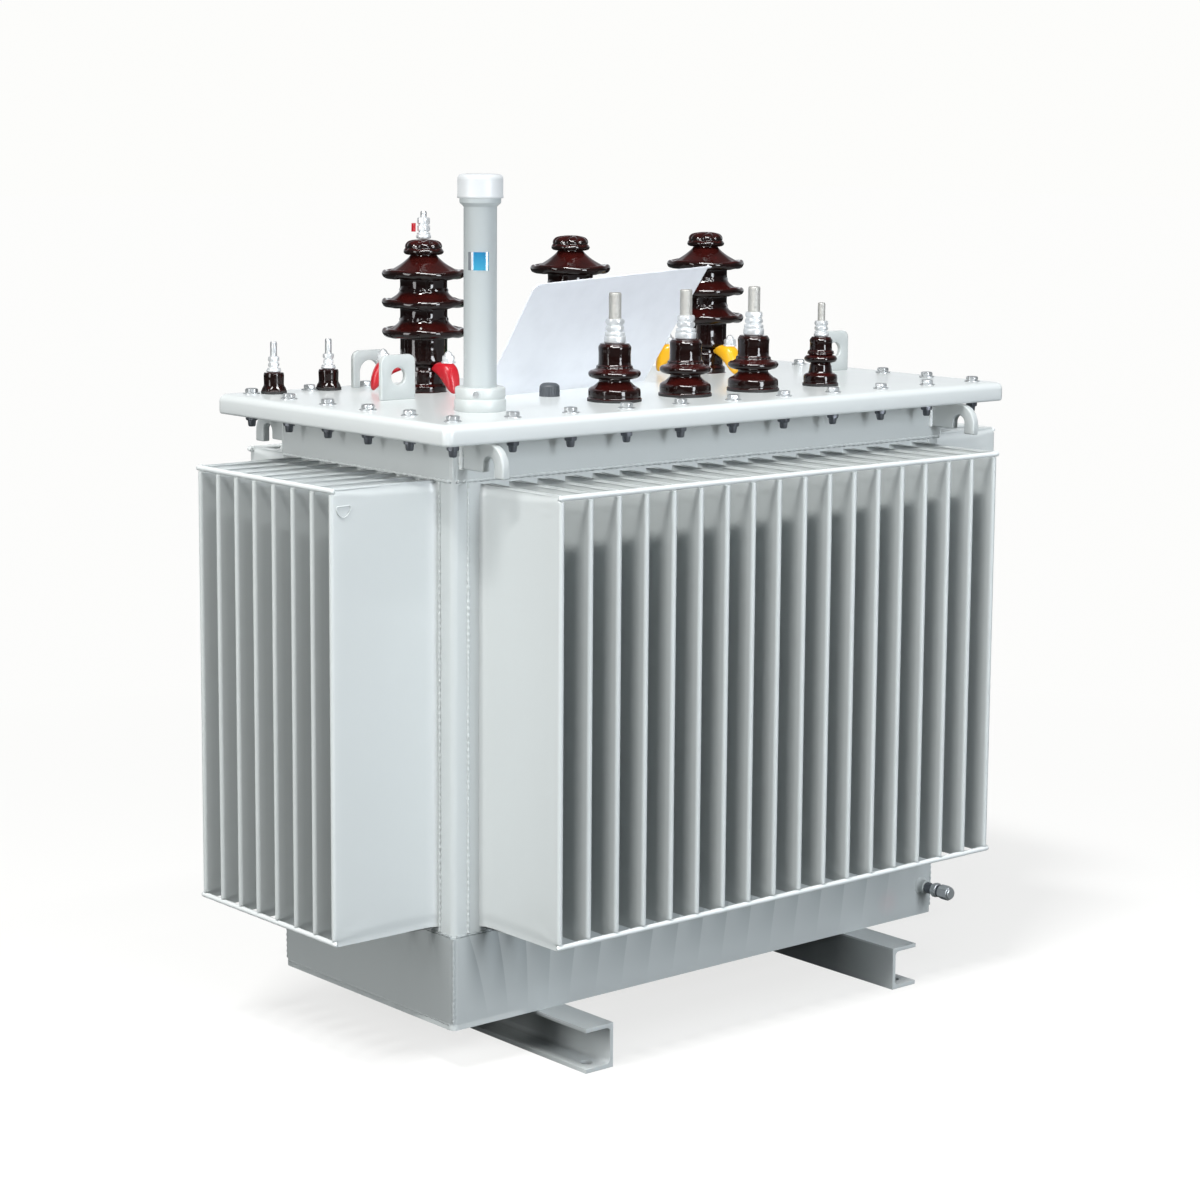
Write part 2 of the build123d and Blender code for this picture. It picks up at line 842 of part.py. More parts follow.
# Handling loop behind the left lifting eye
with BuildPart() as handling_loop:
    with BuildSketch(Plane((loop_x, loop_y, deck_z), x_dir=(1, 0, 0), z_dir=(0, -1, 0))) as loop_outline:
        with Locations((0, loop_height / 2)):
            Rectangle(loop_width, loop_height)
        fillet(loop_outline.vertices().group_by(Axis.Y)[-1], loop_corner_radius)
        inner_width = loop_width - 2 * loop_limb
        inner_height = loop_height - loop_bar
        with Locations((0, (inner_height - inner_width / 2) / 2)):
            Rectangle(inner_width, inner_height - inner_width / 2, mode=Mode.SUBTRACT)
        with Locations((0, inner_height - inner_width / 2)):
            Circle(inner_width / 2, mode=Mode.SUBTRACT)
    extrude(amount=eye_plate / 2, both=True)
finish(handling_loop.part, "handling_loop")

# Thermometer pocket with a domed cap
with BuildPart() as thermometer_pocket:
    with BuildSketch(axis_plane(pocket_x, pocket_y)):
        with BuildLine():
            wall_line = Polyline((0, 0), (pocket_radius, 0), (pocket_radius, pocket_wall_height))
            dome = ThreePointArc(
                wall_line @ 1,
                (pocket_radius * 0.75, pocket_height - 2.2),
                (pocket_radius * 0.3, pocket_height),
            )
            Polyline(dome @ 1, (0, pocket_height), wall_line @ 0)
        make_face()
    revolve(axis=Axis((pocket_x, pocket_y, 0), (0, 0, 1)))
finish(thermometer_pocket.part, "thermometer_pocket")

# Blank rating-plate holder: a bent sheet that leans over the low-voltage side
holder_foot_plane = Plane(Pos(panel_x, panel_y, deck_z) * Rot(0, 0, panel_turn))
holder_face_plane = Plane(Pos(panel_x, panel_y, deck_z) * Rot(0, 0, panel_turn) * Rot(90 + panel_lean, 0, 0))
with BuildPart() as plate_holder:
    with BuildSketch(holder_face_plane) as holder_outline:
        with BuildLine():
            Polyline(
                (0, 0),
                (panel_bottom, 0),
                (panel_top, panel_right_slant),
                (0, panel_left_slant),
                close=True,
            )
        make_face()
        fillet(holder_outline.vertices().sort_by_distance((0, panel_left_slant))[0], panel_corner_radius)
    extrude(amount=-panel_thickness)
    with BuildSketch(holder_foot_plane):
        with Locations((panel_first_tab, panel_foot / 2), (panel_second_tab, panel_foot / 2)):
            Rectangle(panel_tab_width, panel_foot)
    extrude(amount=panel_thickness)
finish(plate_holder.part, "plate_holder")

# Drain valve on the skirt: stub, body, ring and hexagon cap
with BuildPart() as drain_valve:
    outward = Plane((valve_x, -tank_width / 2, valve_z), x_dir=(1, 0, 0), z_dir=(0, -1, 0))
    with BuildSketch(outward):
        Circle(valve_stub_radius)
    extrude(amount=valve_reach - valve_stub_inset)
    with BuildSketch(outward.offset(valve_body_start)):
        Circle(valve_body_radius)
    extrude(amount=valve_body_length)
    with BuildSketch(outward.offset(valve_ring_start)):
        Circle(valve_ring_radius)
    extrude(amount=valve_ring_length)
    with BuildSketch(outward.offset(valve_cap_start)):
        RegularPolygon(valve_cap_radius, 6)
    extrude(amount=valve_reach - valve_cap_start)
finish(drain_valve.part, "drain_valve")
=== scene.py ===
# %% [markdown]
# # An oil-filled transformer, dressed piece by piece
#
# The CAD model already has every size and place. This lesson loads it as a fixed frame, then
# gives it the look of the real thing: pressed steel fins, a glossy enamelled cover, glazed
# porcelain, zinc-plated bolts. Most shapes here are surfaces worked out with numpy, because a
# formula for a pressed or turned shape is short, exact and easy to change.

# %% Load the frame
import math

import bmesh
import bpy
import numpy as np
from mathutils import Matrix, Vector


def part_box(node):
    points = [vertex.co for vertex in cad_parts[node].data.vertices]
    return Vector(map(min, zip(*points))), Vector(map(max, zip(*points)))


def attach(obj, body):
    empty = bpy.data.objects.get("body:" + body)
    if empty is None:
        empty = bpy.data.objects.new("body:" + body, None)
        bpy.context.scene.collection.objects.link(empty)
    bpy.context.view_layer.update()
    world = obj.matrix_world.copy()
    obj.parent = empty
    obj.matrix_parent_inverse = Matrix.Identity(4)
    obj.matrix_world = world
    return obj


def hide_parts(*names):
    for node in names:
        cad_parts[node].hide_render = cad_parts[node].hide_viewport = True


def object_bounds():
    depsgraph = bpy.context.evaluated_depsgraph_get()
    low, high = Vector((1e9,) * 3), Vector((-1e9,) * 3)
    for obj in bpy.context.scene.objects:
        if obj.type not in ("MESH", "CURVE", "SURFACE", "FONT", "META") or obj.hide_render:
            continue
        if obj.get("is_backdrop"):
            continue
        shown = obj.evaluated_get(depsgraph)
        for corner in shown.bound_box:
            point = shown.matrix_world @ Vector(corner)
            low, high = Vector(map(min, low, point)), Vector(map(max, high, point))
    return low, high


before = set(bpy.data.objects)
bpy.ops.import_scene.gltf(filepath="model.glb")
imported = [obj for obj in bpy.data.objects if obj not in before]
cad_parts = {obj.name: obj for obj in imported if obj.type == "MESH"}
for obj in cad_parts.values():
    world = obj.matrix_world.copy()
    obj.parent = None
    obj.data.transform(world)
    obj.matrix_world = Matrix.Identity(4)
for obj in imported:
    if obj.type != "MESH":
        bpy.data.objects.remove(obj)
cad_box = [list(corner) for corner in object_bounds()]
scene = bpy.context.scene
MM = 0.001
rng = np.random.default_rng(20)
print("CAD box in metres:", [[round(v, 3) for v in corner] for corner in cad_box])

# %% [markdown]
# ## Putting a surface into a mesh
#
# A surface is a grid of points: rows along one parameter and columns along the other. The
# faces of such a grid follow from counting alone, so one helper serves every shape. Every grid
# here closes on itself, as round a pipe: the last column joins the first, and the ends are closed
# with a fan to a middle point.

# %% Grids


def ramp(value, start, width):
    """0 up to the start, 1 a width further on, a straight line between."""
    return np.clip((value - start) / width, 0, 1)


def grid_faces(rows, columns):
    """Quads between neighbouring rows, the last column joined to the first."""
    row, column = np.meshgrid(np.arange(rows - 1), np.arange(columns), indexing="ij")
    start, after = row * columns, (column + 1) % columns
    corners = [start + column, start + after, start + columns + after, start + columns + column]
    return np.stack(corners, -1).reshape(-1, 4)


def fan(ring, middle):
    """Triangles from each step of a ring of point numbers to a middle point."""
    return np.stack([ring, np.roll(ring, -1), np.full_like(ring, middle)], -1)


def closed_tube(points):
    """A grid of rings (rows, columns, 3) as one closed shell, each end fanned to its mean."""
    rows, columns = points.shape[:2]
    ends = np.stack([points[0].mean(0), points[-1].mean(0)])
    low = fan(np.arange(columns), rows * columns)[:, [1, 0, 2]]
    high = fan(np.arange(columns) + (rows - 1) * columns, rows * columns + 1)
    return np.concatenate([points.reshape(-1, 3), ends]), [grid_faces(rows, columns), low, high]


def joined(shells):
    """Several (points, [faces...]) shells as one list of points and faces."""
    verts, faces, count = [], [], 0
    for points, blocks in shells:
        verts.append(points)
        faces.extend(block + count for block in blocks)
        count += len(points)
    return np.concatenate(verts), faces


# %% Pieces


def added(name, data):
    """A new object with this data, put in the scene."""
    thing = bpy.data.objects.new(name, data)
    scene.collection.objects.link(thing)
    return thing


def hand_over(piece, replaces):
    """Parents a piece to the root body and hides the CAD nodes it stands for."""
    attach(piece, "root")
    if replaces:
        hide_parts(*replaces)


def new_piece(name, shells, finish, replaces=(), crease=40, smooth=True):
    """A mesh piece in row coordinates, in metres, from shells given in millimetres."""
    verts, faces = joined(shells)
    mesh = bpy.data.meshes.new(name)
    mesh.from_pydata((verts * MM).tolist(), [], [face for block in faces for face in block.tolist()])
    mesh.update()
    mesh.validate()
    if smooth:
        mesh.shade_smooth()
        mesh.set_sharp_from_angle(angle=math.radians(crease))
    mesh.materials.append(finish)
    hand_over(added(name, mesh), replaces)
    print(f"{name}: {len(verts)} points, {len(mesh.polygons)} faces")


# %% Turned and swept shapes


def turned(profile, centre, columns=64, shape=None):
    """A profile of (radius, height) rows turned about an upright axis at centre.

    The point at row i and angle a is centre + (r_i cos a, r_i sin a, z_i). shape(angle, r, z)
    may change the radius, as for a hexagon or a thread.
    """
    profile = np.asarray(profile, float)
    angle = np.linspace(0, 2 * np.pi, columns, endpoint=False)[None, :]
    radius, height = profile[:, :1], profile[:, 1:]
    if shape is not None:
        radius, height = shape(angle, radius, height)
    axes = np.broadcast_arrays(radius * np.cos(angle), radius * np.sin(angle), height)
    return closed_tube(np.stack(axes, -1) + np.asarray(centre, float))


def smooth_line(points, steps=6):
    """Catmull-Rom curve through points: each span is the cubic whose slope at a point is half
    the step between that point's neighbours."""
    points = np.asarray(points, float)
    padded = np.concatenate([points[:1], points, points[-1:]])
    t = np.linspace(0, 1, steps, endpoint=False)[None, :, None]
    a, b, c, d = (padded[i : len(padded) - 3 + i][:, None, :] for i in range(4))
    square, cube = 2 * a - 5 * b + 4 * c - d, 3 * b - a - 3 * c + d
    curve = 0.5 * (2 * b + (c - a) * t + square * t**2 + cube * t**3)
    return np.concatenate([curve.reshape(-1, points.shape[1]), points[-1:]])


def swept(path, radii, columns=10, up=(0.0, 0.0, 1.0)):
    """A round section carried along a path: point = path + r (side cos a + top sin a)."""
    path = np.asarray(path, float)
    radii = np.broadcast_to(np.asarray(radii, float), (len(path),))
    along = np.gradient(path, axis=0)
    along /= np.linalg.norm(along, axis=1, keepdims=True)
    side = np.cross(along, np.asarray(up, float))
    side /= np.linalg.norm(side, axis=1, keepdims=True)
    top = np.cross(side, along)
    angle = np.linspace(0, 2 * np.pi, columns, endpoint=False)[None, :, None]
    ring = side[:, None] * np.cos(angle) + top[:, None] * np.sin(angle)
    return closed_tube(path[:, None] + radii[:, None, None] * ring)


def offsets(radius, height, *steps):
    """The points of a profile at steps from one radius and height."""
    return [(radius + r, height + z) for r, z in steps]


def middle_of(node):
    """Middle of a CAD node's box in plan, its floor and its top, in millimetres."""
    low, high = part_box(node)
    centre = (np.array(low) + np.array(high)) / 2 / MM
    return centre[0], centre[1], low[2] / MM, high[2] / MM


deck_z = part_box("cover")[1].z / MM
print("deck at", round(deck_z, 1), "mm")

# %% [markdown]
# ## Shader maths as Python
#
# A finish is a small network of nodes. Written as node calls it is long and hard to read, so
# one class wraps an output and lets +, - and * build the Math nodes. Numbers that are the same
# all over a surface are set on the shader itself; only what varies is wired.

# %% Wires


def operator(operation, swapped=False):
    """A Python operator that adds a Math node for a wire and another wire or a number."""

    def apply(wire, other):
        first, second = (other, wire) if swapped else (wire, other)
        return wire.nodes.maths(operation, first, second)

    return apply


class Wire:
    """An output of a shader node that can be added, subtracted and scaled in Python."""

    __add__ = __radd__ = operator("ADD")
    __mul__ = __rmul__ = operator("MULTIPLY")
    __sub__ = operator("SUBTRACT")
    __rsub__ = operator("SUBTRACT", swapped=True)

    def __init__(self, nodes, socket):
        self.nodes = nodes
        self.socket = socket

    def above(self, edge, width):
        """0 below the edge, 1 a width above it, a straight ramp between."""
        return self.nodes.maths("MULTIPLY", self - edge, 1 / width, clamp=True)


# %% Nodes and finishes


class Nodes:
    """A node tree under construction, with one method that adds any node."""

    def __init__(self, tree, coordinates="Object"):
        self.tree = tree
        self.place = self.node("TexCoord", output=coordinates)

    def put(self, socket, value):
        """Joins a wire to an input, or sets the input to a value."""
        if isinstance(value, Wire):
            self.tree.links.new(value.socket, socket)
        else:
            socket.default_value = value

    def node(self, kind, settings=None, values=None, output=0):
        """Adds a node: settings first, then each input by name or number, then one output."""
        made = self.tree.nodes.new("ShaderNode" + kind)
        for name, value in (settings or {}).items():
            setattr(made, name, value)
        for key, value in (values or {}).items():
            self.put(made.inputs[key], value)
        return Wire(self, made.outputs[output])

    def noise(self, scale, detail=3.0, roughness=0.5, stretch=None):
        """Soft noise from 0 to 1 in object space; stretch gives a scale for each axis."""
        place = self.place
        if stretch is not None:
            place = self.node("Mapping", None, {"Vector": place, "Scale": stretch})
        values = {"Vector": place, "Scale": scale, "Detail": detail, "Roughness": roughness}
        return self.node("TexNoise", None, values)

    def blend(self, factor, first, second):
        """Colour mix of two colours (tuples or wires) by a wire."""
        first = (*first, 1.0) if isinstance(first, tuple) else first
        second = (*second, 1.0) if isinstance(second, tuple) else second
        values = {0: factor, 6: first, 7: second}
        return self.node("Mix", {"data_type": "RGBA"}, values, output=2)

    def bump(self, height, distance, strength=1.0, under=None):
        """A normal tilted by a height, on top of another bump where one lies under it."""
        values = {"Height": height, "Distance": distance, "Strength": strength}
        if under is not None:
            values["Normal"] = under
        return self.node("Bump", None, values)

    def axis(self, name):
        """One coordinate of the object-space place."""
        return self.node("SeparateXYZ", None, {0: self.place}, output=name)

    def maths(self, operation, first, second=0.0, clamp=False):
        """A Math node, by the name of its operation."""
        settings = {"operation": operation, "use_clamp": clamp}
        return self.node("Math", settings, {0: first, 1: second})

    def distance(self, point):
        """Distance from a point, in metres."""
        settings = {"operation": "DISTANCE"}
        return self.node("VectorMath", settings, {0: self.place, 1: point}, output=1)


class Finish(Nodes):
    """A material whose principled shader is set from Python values and wires."""

    def __init__(self, name, colour, roughness, metallic=0.0, coat=0.0, coat_roughness=0.05, ior=1.5):
        self.material = bpy.data.materials.new(name)
        self.material.use_nodes = True
        super().__init__(self.material.node_tree)
        self.shader = self.tree.nodes["Principled BSDF"]
        self.set(Base_Color=(*colour, 1.0), Roughness=roughness, Metallic=metallic)
        self.set(Coat_Weight=coat, Coat_Roughness=coat_roughness, IOR=ior)
        print("finish", name)

    def set(self, **values):
        """Sets inputs of the shader; an underscore stands for the space in an input's name."""
        for name, value in values.items():
            self.put(self.shader.inputs[name.replace("_", " ")], value)


def shade(colour, factor):
    """A colour scaled by a factor."""
    return tuple(min(1.0, channel * factor) for channel in colour)


# %% [markdown]
# ## Enamel
#
# The tank is sprayed with light grey enamel. Up close it has the fine dimples of sprayed
# paint, a slow waviness from the sheet under it, and patches where it dried a little duller.
# The same recipe with other numbers gives the whiter, glossier cover.

# %% Enamel finishes


def enamel(name, colour, roughness, coat, dimple=0.00006, wave=0.0010, darkening=0.06, extra=None):
    """Sprayed paint: fine dimples and slow waves as bump, duller and darker patches, darker towards the
    bottom.
    """
    paint = Finish(name, colour, roughness, coat=coat, coat_roughness=0.08)
    patches = paint.noise(5.0, detail=4.0)
    streaks = paint.noise(9.0, detail=3.0, stretch=(1.0, 1.0, 0.12))
    grain = paint.noise(420.0, detail=2.0)
    slow = paint.noise(7.0, detail=1.0)
    low = 1 - paint.axis("Z").above(0.05, 0.6)
    worn = (patches * 0.5 + streaks * 0.5).above(0.42, 0.35)
    film = worn * (darkening + low * darkening)
    tone = paint.blend(film, colour, shade(colour, 0.72))
    paint.set(Base_Color=extra(paint, tone) if extra else tone)
    paint.set(Roughness=patches * 0.16 + (roughness - 0.06))
    waved = paint.bump(slow, wave, strength=0.5)
    paint.set(Normal=paint.bump(grain, dimple, strength=0.6, under=waved))
    return paint.material


def fin_shadow_streaks_and_stain(paint, tone):
    """Painted shadows of the fins: soft upright streaks at their pitch, darkest just under them; and one
    faint pink stain low on the right.
    """
    along, height = paint.axis("X") + paint.noise(3.0) * 0.012, paint.axis("Z") - 0.198
    fan = paint.maths("MINIMUM", (along + 0.33) * 3.0, 0.15)
    step = paint.maths("FRACT", (along - fan * height) * 20.0)
    band = (1 - paint.axis("X").above(0.36, 0.06)) * (paint.axis("X") + 0.47).above(0.0, 0.03)
    share = step * paint.axis("Z").above(0.070, 0.12) * band * 0.78
    # Painted shadow: the skirt darkens in streaks where the fins shade it from above.
    fin_shadowed = paint.blend(share, tone, (0.24, 0.27, 0.28))
    stain = (1 - paint.distance((0.383, -0.207, 0.098)).above(0.006, 0.020)) * paint.noise(60.0)
    return paint.blend(stain * 0.5, fin_shadowed, (0.52, 0.40, 0.41))


def painted_shade_under_tank(paint, tone):
    """Painted shade on the skids where they lie under the tank, fading towards their free ends."""
    front = 1 - (paint.axis("Y") + 0.33).above(0.0, 0.14)
    rear = (paint.axis("Y") - 0.19).above(0.0, 0.14)
    under = (1 - front - rear) * (1 - paint.axis("Z").above(0.061, 0.002))
    # Painted shade: the skids darken under the tank, where little light reaches.
    return paint.blend(under * (paint.noise(14.0) * 0.3 + 0.6), tone, (0.09, 0.10, 0.10))


GREY = (0.46, 0.49, 0.49)
tank_paint = enamel("light_grey_enamel", GREY, 0.34, 0.25)
skirt_paint = enamel("light_grey_enamel_on_skirt", GREY, 0.40, 0.15, extra=fin_shadow_streaks_and_stain)
skid_paint = enamel(
    "light_grey_enamel_on_skids", (0.50, 0.53, 0.53), 0.40, 0.10, darkening=0.10, extra=painted_shade_under_tank
)
fin_paint = enamel("light_grey_enamel_on_fins", (0.51, 0.54, 0.54), 0.36, 0.20, wave=0.0007)
cover_paint = enamel("off_white_enamel", (0.58, 0.61, 0.61), 0.30, 0.20, darkening=0.03)
# Painted light: a lighter copy of the grey enamel stands for the light from above on the rods; the hook
# welds take it too.
lit_rod_paint = enamel(
    "grey_enamel_painted_lighter_as_lit", (0.64, 0.67, 0.67), 0.34, 0.15, wave=0.0002, darkening=0.03
)
pipe_paint = enamel(
    "light_grey_enamel_on_pipe", (0.44, 0.475, 0.48), 0.38, 0.12, wave=0.0003, darkening=0.02
)
fitting_paint = enamel(
    "light_grey_enamel_on_fittings", (0.46, 0.49, 0.485), 0.40, 0.12, wave=0.0003, darkening=0.02
)

# %% [markdown]
# ## Glaze, metal, rubber and plastic
#
# Porcelain is dipped in a brown-black glaze that pools a little, so it reads nearly black with hard white
# highlights from the lamps. The red-brown on slopes that face up is painted light from above, over patches
# of the glaze's own tone. Plated bolts are bright metal with a mottled, slightly cloudy skin.

# %% Other finishes


def glaze():
    """Glossy black-brown: maroon painted as light from above on slopes that face up, in patches of the
    glaze's own tone.
    """
    glass = Finish("brown_glaze", (0.010, 0.004, 0.003), 0.07, ior=1.42)
    facing = glass.node("NewGeometry", output="Normal")
    upward = glass.node("SeparateXYZ", None, {0: facing}, output="Z")
    pooled = glass.noise(34.0, detail=3.0)
    slow = glass.noise(38.0, detail=2.0, stretch=(1.0, 1.0, 1.6))
    # Painted light: maroon where the surface faces up, in patches of the glaze's own tone.
    thin_and_lit = upward.above(0.35, 0.40) * (pooled * 1.3 - 0.10)
    glass.set(Base_Color=glass.blend(thin_and_lit, (0.0040, 0.0014, 0.0012), (0.020, 0.0022, 0.0018)))
    glass.set(Roughness=pooled * 0.06 + 0.04)
    glass.set(Normal=glass.bump(slow, 0.0020, strength=0.4))
    return glass.material


def plated(name, colour, roughness, mottle=0.25, metallic=1.0):
    """Bright plating: cloudy patches change colour and roughness, fine scratches run round."""
    metal = Finish(name, colour, roughness, metallic=metallic)
    cloud = metal.noise(160.0, detail=4.0, roughness=0.65)
    fine = metal.noise(900.0, detail=2.0, stretch=(1.0, 1.0, 6.0))
    metal.set(Base_Color=metal.blend(cloud.above(0.35, 0.4) * mottle, colour, shade(colour, 0.55)))
    metal.set(Roughness=cloud * 0.25 + (roughness - 0.1))
    metal.set(Normal=metal.bump(fine, 0.00004, strength=0.7))
    return metal.material


def plain(name, colour, roughness, grain_scale=700.0, grain=0.00005, coat=0.0):
    """Plastic, rubber or brushed-on paint: fine grain and a slow change of tone."""
    skin = Finish(name, colour, roughness, coat=coat)
    tone = skin.noise(30.0, detail=3.0)
    fine = skin.noise(grain_scale, detail=2.0)
    skin.set(Base_Color=skin.blend(tone.above(0.4, 0.4) * 0.18, colour, shade(colour, 0.7)))
    skin.set(Roughness=tone * 0.12 + (roughness - 0.05))
    skin.set(Normal=skin.bump(fine, grain, strength=0.8))
    return skin.material


porcelain = glaze()
zinc = plated("zinc_plate", (0.60, 0.62, 0.63), 0.38, mottle=0.20, metallic=0.90)
tin = plated("tinned_stud", (0.46, 0.455, 0.43), 0.50, mottle=0.10, metallic=0.55)
pale_zinc = plated("pale_zinc_nuts", (0.70, 0.72, 0.73), 0.42, mottle=0.10, metallic=0.60)
# Dark steel for the valve body; on the bolt ends under the lip it is painted shade.
dark_steel_and_shade = plated("dark_steel_and_painted_shade", (0.17, 0.18, 0.20), 0.42)
rubber = plain("black_rubber", (0.018, 0.018, 0.018), 0.6)
red_paint = plain("red_paint", (0.40, 0.006, 0.014), 0.32, grain=0.0001, coat=0.1)
green_paint = plain("green_paint", (0.015, 0.22, 0.06), 0.32, grain=0.0001, coat=0.1)
yellow_paint = plain("yellow_paint", (0.72, 0.37, 0.008), 0.32, grain=0.0001, coat=0.1)
white_plastic = plain("white_plastic", (0.53, 0.55, 0.56), 0.40)
dark_plastic = plain("dark_grey_plastic", (0.045, 0.052, 0.060), 0.48)
holder_sheet = plain("white_sheet", (0.72, 0.735, 0.775), 0.46, grain_scale=300.0)


def window():
    """Level window: a silver strip at one side, then blue that fades towards the bottom."""
    pane = Finish("blue_window", (0.06, 0.40, 0.72), 0.12, coat=0.8, coat_roughness=0.03)
    slant = math.sqrt(0.5)
    across = pane.axis("X") * slant - pane.axis("Y") * slant
    middle_x, middle_y, low, high = middle_of("level_window")
    start = (middle_x - middle_y) * slant * MM
    side = (across - (start - 0.0075)).above(0.0, 0.001)
    rise = pane.axis("Z").above(low * MM, (high - low) * MM)
    blue = pane.blend(rise, (0.05, 0.30, 0.46), (0.02, 0.17, 0.34))
    pane.set(Base_Color=pane.blend(side, (0.16, 0.175, 0.19), blue))
    pane.set(Roughness=pane.noise(60.0) * 0.1 + 0.06)
    return pane.material


window_plastic = window()

# %% [markdown]
# ## Which finish goes on which CAD piece
#
# Every CAD node gets a finish here, also the ones that a finer piece stands for later, so no
# node is ever left plain.

# %% Dress the CAD nodes
sides = ("front", "rear", "left", "right")
phases = ("left", "middle", "right")
dressing = (
    (skid_paint, "skid_left skid_right"),
    (skirt_paint, "tank_skirt"),
    (tank_paint, "tank_floor corner_posts upper_frame tank_flange lifting_hooks"),
    (fin_paint, " ".join(f"corrugated_wall_{side}" for side in sides)),
    (lit_rod_paint, " ".join(f"fin_rods_{side}" for side in sides)),
    (cover_paint, "cover"),
    (fitting_paint, "cover_lifting_eyes handling_loop filler_collar"),
    (rubber, "cover_gasket bushing_seals"),
    (porcelain, "hv_bushing_left hv_bushing_middle hv_bushing_right neutral_bushing aux_bushings"),
    (porcelain, "lv_bushing_1 lv_bushing_2 lv_bushing_3"),
    (tin, "lv_terminal_1 lv_terminal_2 lv_terminal_3 neutral_terminal"),
    (zinc, "hv_terminal_left aux_terminal_1 aux_terminal_2"),
    (red_paint, "hv_clamp_red"),
    (green_paint, "hv_clamp_green"),
    (yellow_paint, "hv_clamp_yellow"),
    (pipe_paint, "filler_pipe"),
    (white_plastic, "filler_cap"),
    (window_plastic, "level_window"),
    (dark_plastic, "thermometer_pocket"),
    (holder_sheet, "plate_holder"),
    (dark_steel_and_shade, "drain_valve"),
)
for finish, names in dressing:
    for name in names.split():
        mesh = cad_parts[name].data
        mesh.materials.clear()
        mesh.materials.append(finish)
print("dressed", sum(len(names.split()) for _, names in dressing), "of", len(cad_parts), "nodes")

# %% [markdown]
# ## Camera
#
# The camera was solved from the photograph, so its place and turn are written down as numbers.
# The lens axis doesn't pass through the middle of the picture, which a small shift repeats.

# %% Camera from the solved view
YAW, PITCH, ROLL = 0.7134, 0.1421, 0.0083
FOCAL_PIXELS = 2840.6
AXIS_U, AXIS_V = 630.6, 528.4
PICTURE = 1200
SENSOR = 36.0
CAMERA_PLACE = (-2.7982, -3.2506, 1.3212)

level = Vector((math.cos(YAW), -math.sin(YAW), 0.0))
ahead = Vector((math.sin(YAW), math.cos(YAW), 0.0))
forward = math.cos(PITCH) * ahead - math.sin(PITCH) * Vector((0.0, 0.0, 1.0))
upright = level.cross(forward)
across = math.cos(ROLL) * level + math.sin(ROLL) * upright
above = math.cos(ROLL) * upright - math.sin(ROLL) * level

camera_data = bpy.data.cameras.new("camera")
camera_data.sensor_width = SENSOR
camera_data.lens = FOCAL_PIXELS / PICTURE * SENSOR
camera_data.shift_x = (PICTURE / 2 - AXIS_U) / PICTURE
camera_data.shift_y = (AXIS_V - PICTURE / 2) / PICTURE
camera_data.clip_start = 0.1
camera_data.clip_end = 60.0
camera = added("camera", camera_data)
turn = Matrix((across, above, -forward)).transposed().to_4x4()
camera.matrix_world = Matrix.Translation(CAMERA_PLACE) @ turn
scene.camera = camera
print("lens", round(camera_data.lens, 1), "mm")

# %% [markdown]
# ## Corrugated walls
#
# The real wall is one thin sheet folded into deep, hollow fins. At the top and the bottom each
# fin is pressed flat and welded shut, and the sheet swells from that seam into its full
# thickness over a short shoulder. The shoulder is steeper near the tip, where the press gathers
# the sheet, so a slanting crease shows there. A fin is a tube here: its section in plan runs
# out along one side, round the fold and back, and the half thickness depends on the height and
# on how far out the point lies.

# %% One fin as a function of depth and height
FIN_THICKNESS = 9.0
SEAM = 2.6
FIN_LOW, FIN_HIGH = 207.0, 830.0
SHEET, RIDGE = 4.0, 2.4
SHORT_SIDE_RISE = 6.0
WALLS = {"front": (18, 50.0), "rear": (18, 50.0), "left": (8, 46.0), "right": (8, 46.0)}
OUTWARD = {"front": (0, -1), "rear": (0, 1), "left": (-1, 0), "right": (1, 0)}
FIN_TOP = {side: FIN_HIGH + (SHORT_SIDE_RISE if side in ("left", "right") else 0) for side in WALLS}


def fin_rows(top):
    """Heights of the rings: close together in the pressed ends, far apart between."""
    seam = [0, 2, 4, 6, 7.5, 9]
    steps = np.concatenate([seam, np.arange(11.0, 36.0, 2.5), np.geomspace(38.0, 90.0, 7)])
    low, high = FIN_LOW + steps, top - steps
    between = np.linspace(low[-1] + 40, high[-1] - 40, 6)
    return np.concatenate([low, between, high[::-1]])


def swell(drop, out, low):
    """How far the sheet has swelled, 0 to 1, at a drop from the seam's edge and a share of depth.

    A narrow seam comes first, then a shoulder that grows steep at the tip, so the fold keeps its
    width up to the rod. Slanting creases near the tip, downward at the top and upward at the
    bottom, show where the press has gathered the sheet.
    """
    seam = 5.0 - 3.0 * out**4
    reach = np.where(low, 14.0, 11.0) * (1 - 0.55 * out**4) + 4.0 * low
    first = ramp(drop, seam, reach)
    second = ramp(drop, seam, 45.0)
    step = first * first * (3 - 2 * first)
    line = np.where(low, 9.0 + 130.0 * (1 - out), 12.0 + 230.0 * (out - 0.78))
    slant = np.exp(-(((drop - line) / 5.0) ** 2)) * ramp(out, 0.74, 0.08)
    start = np.where(low, 0.55, 0.20)
    return start + (1 - start) * (0.88 * step + 0.12 * second) - 0.20 * slant


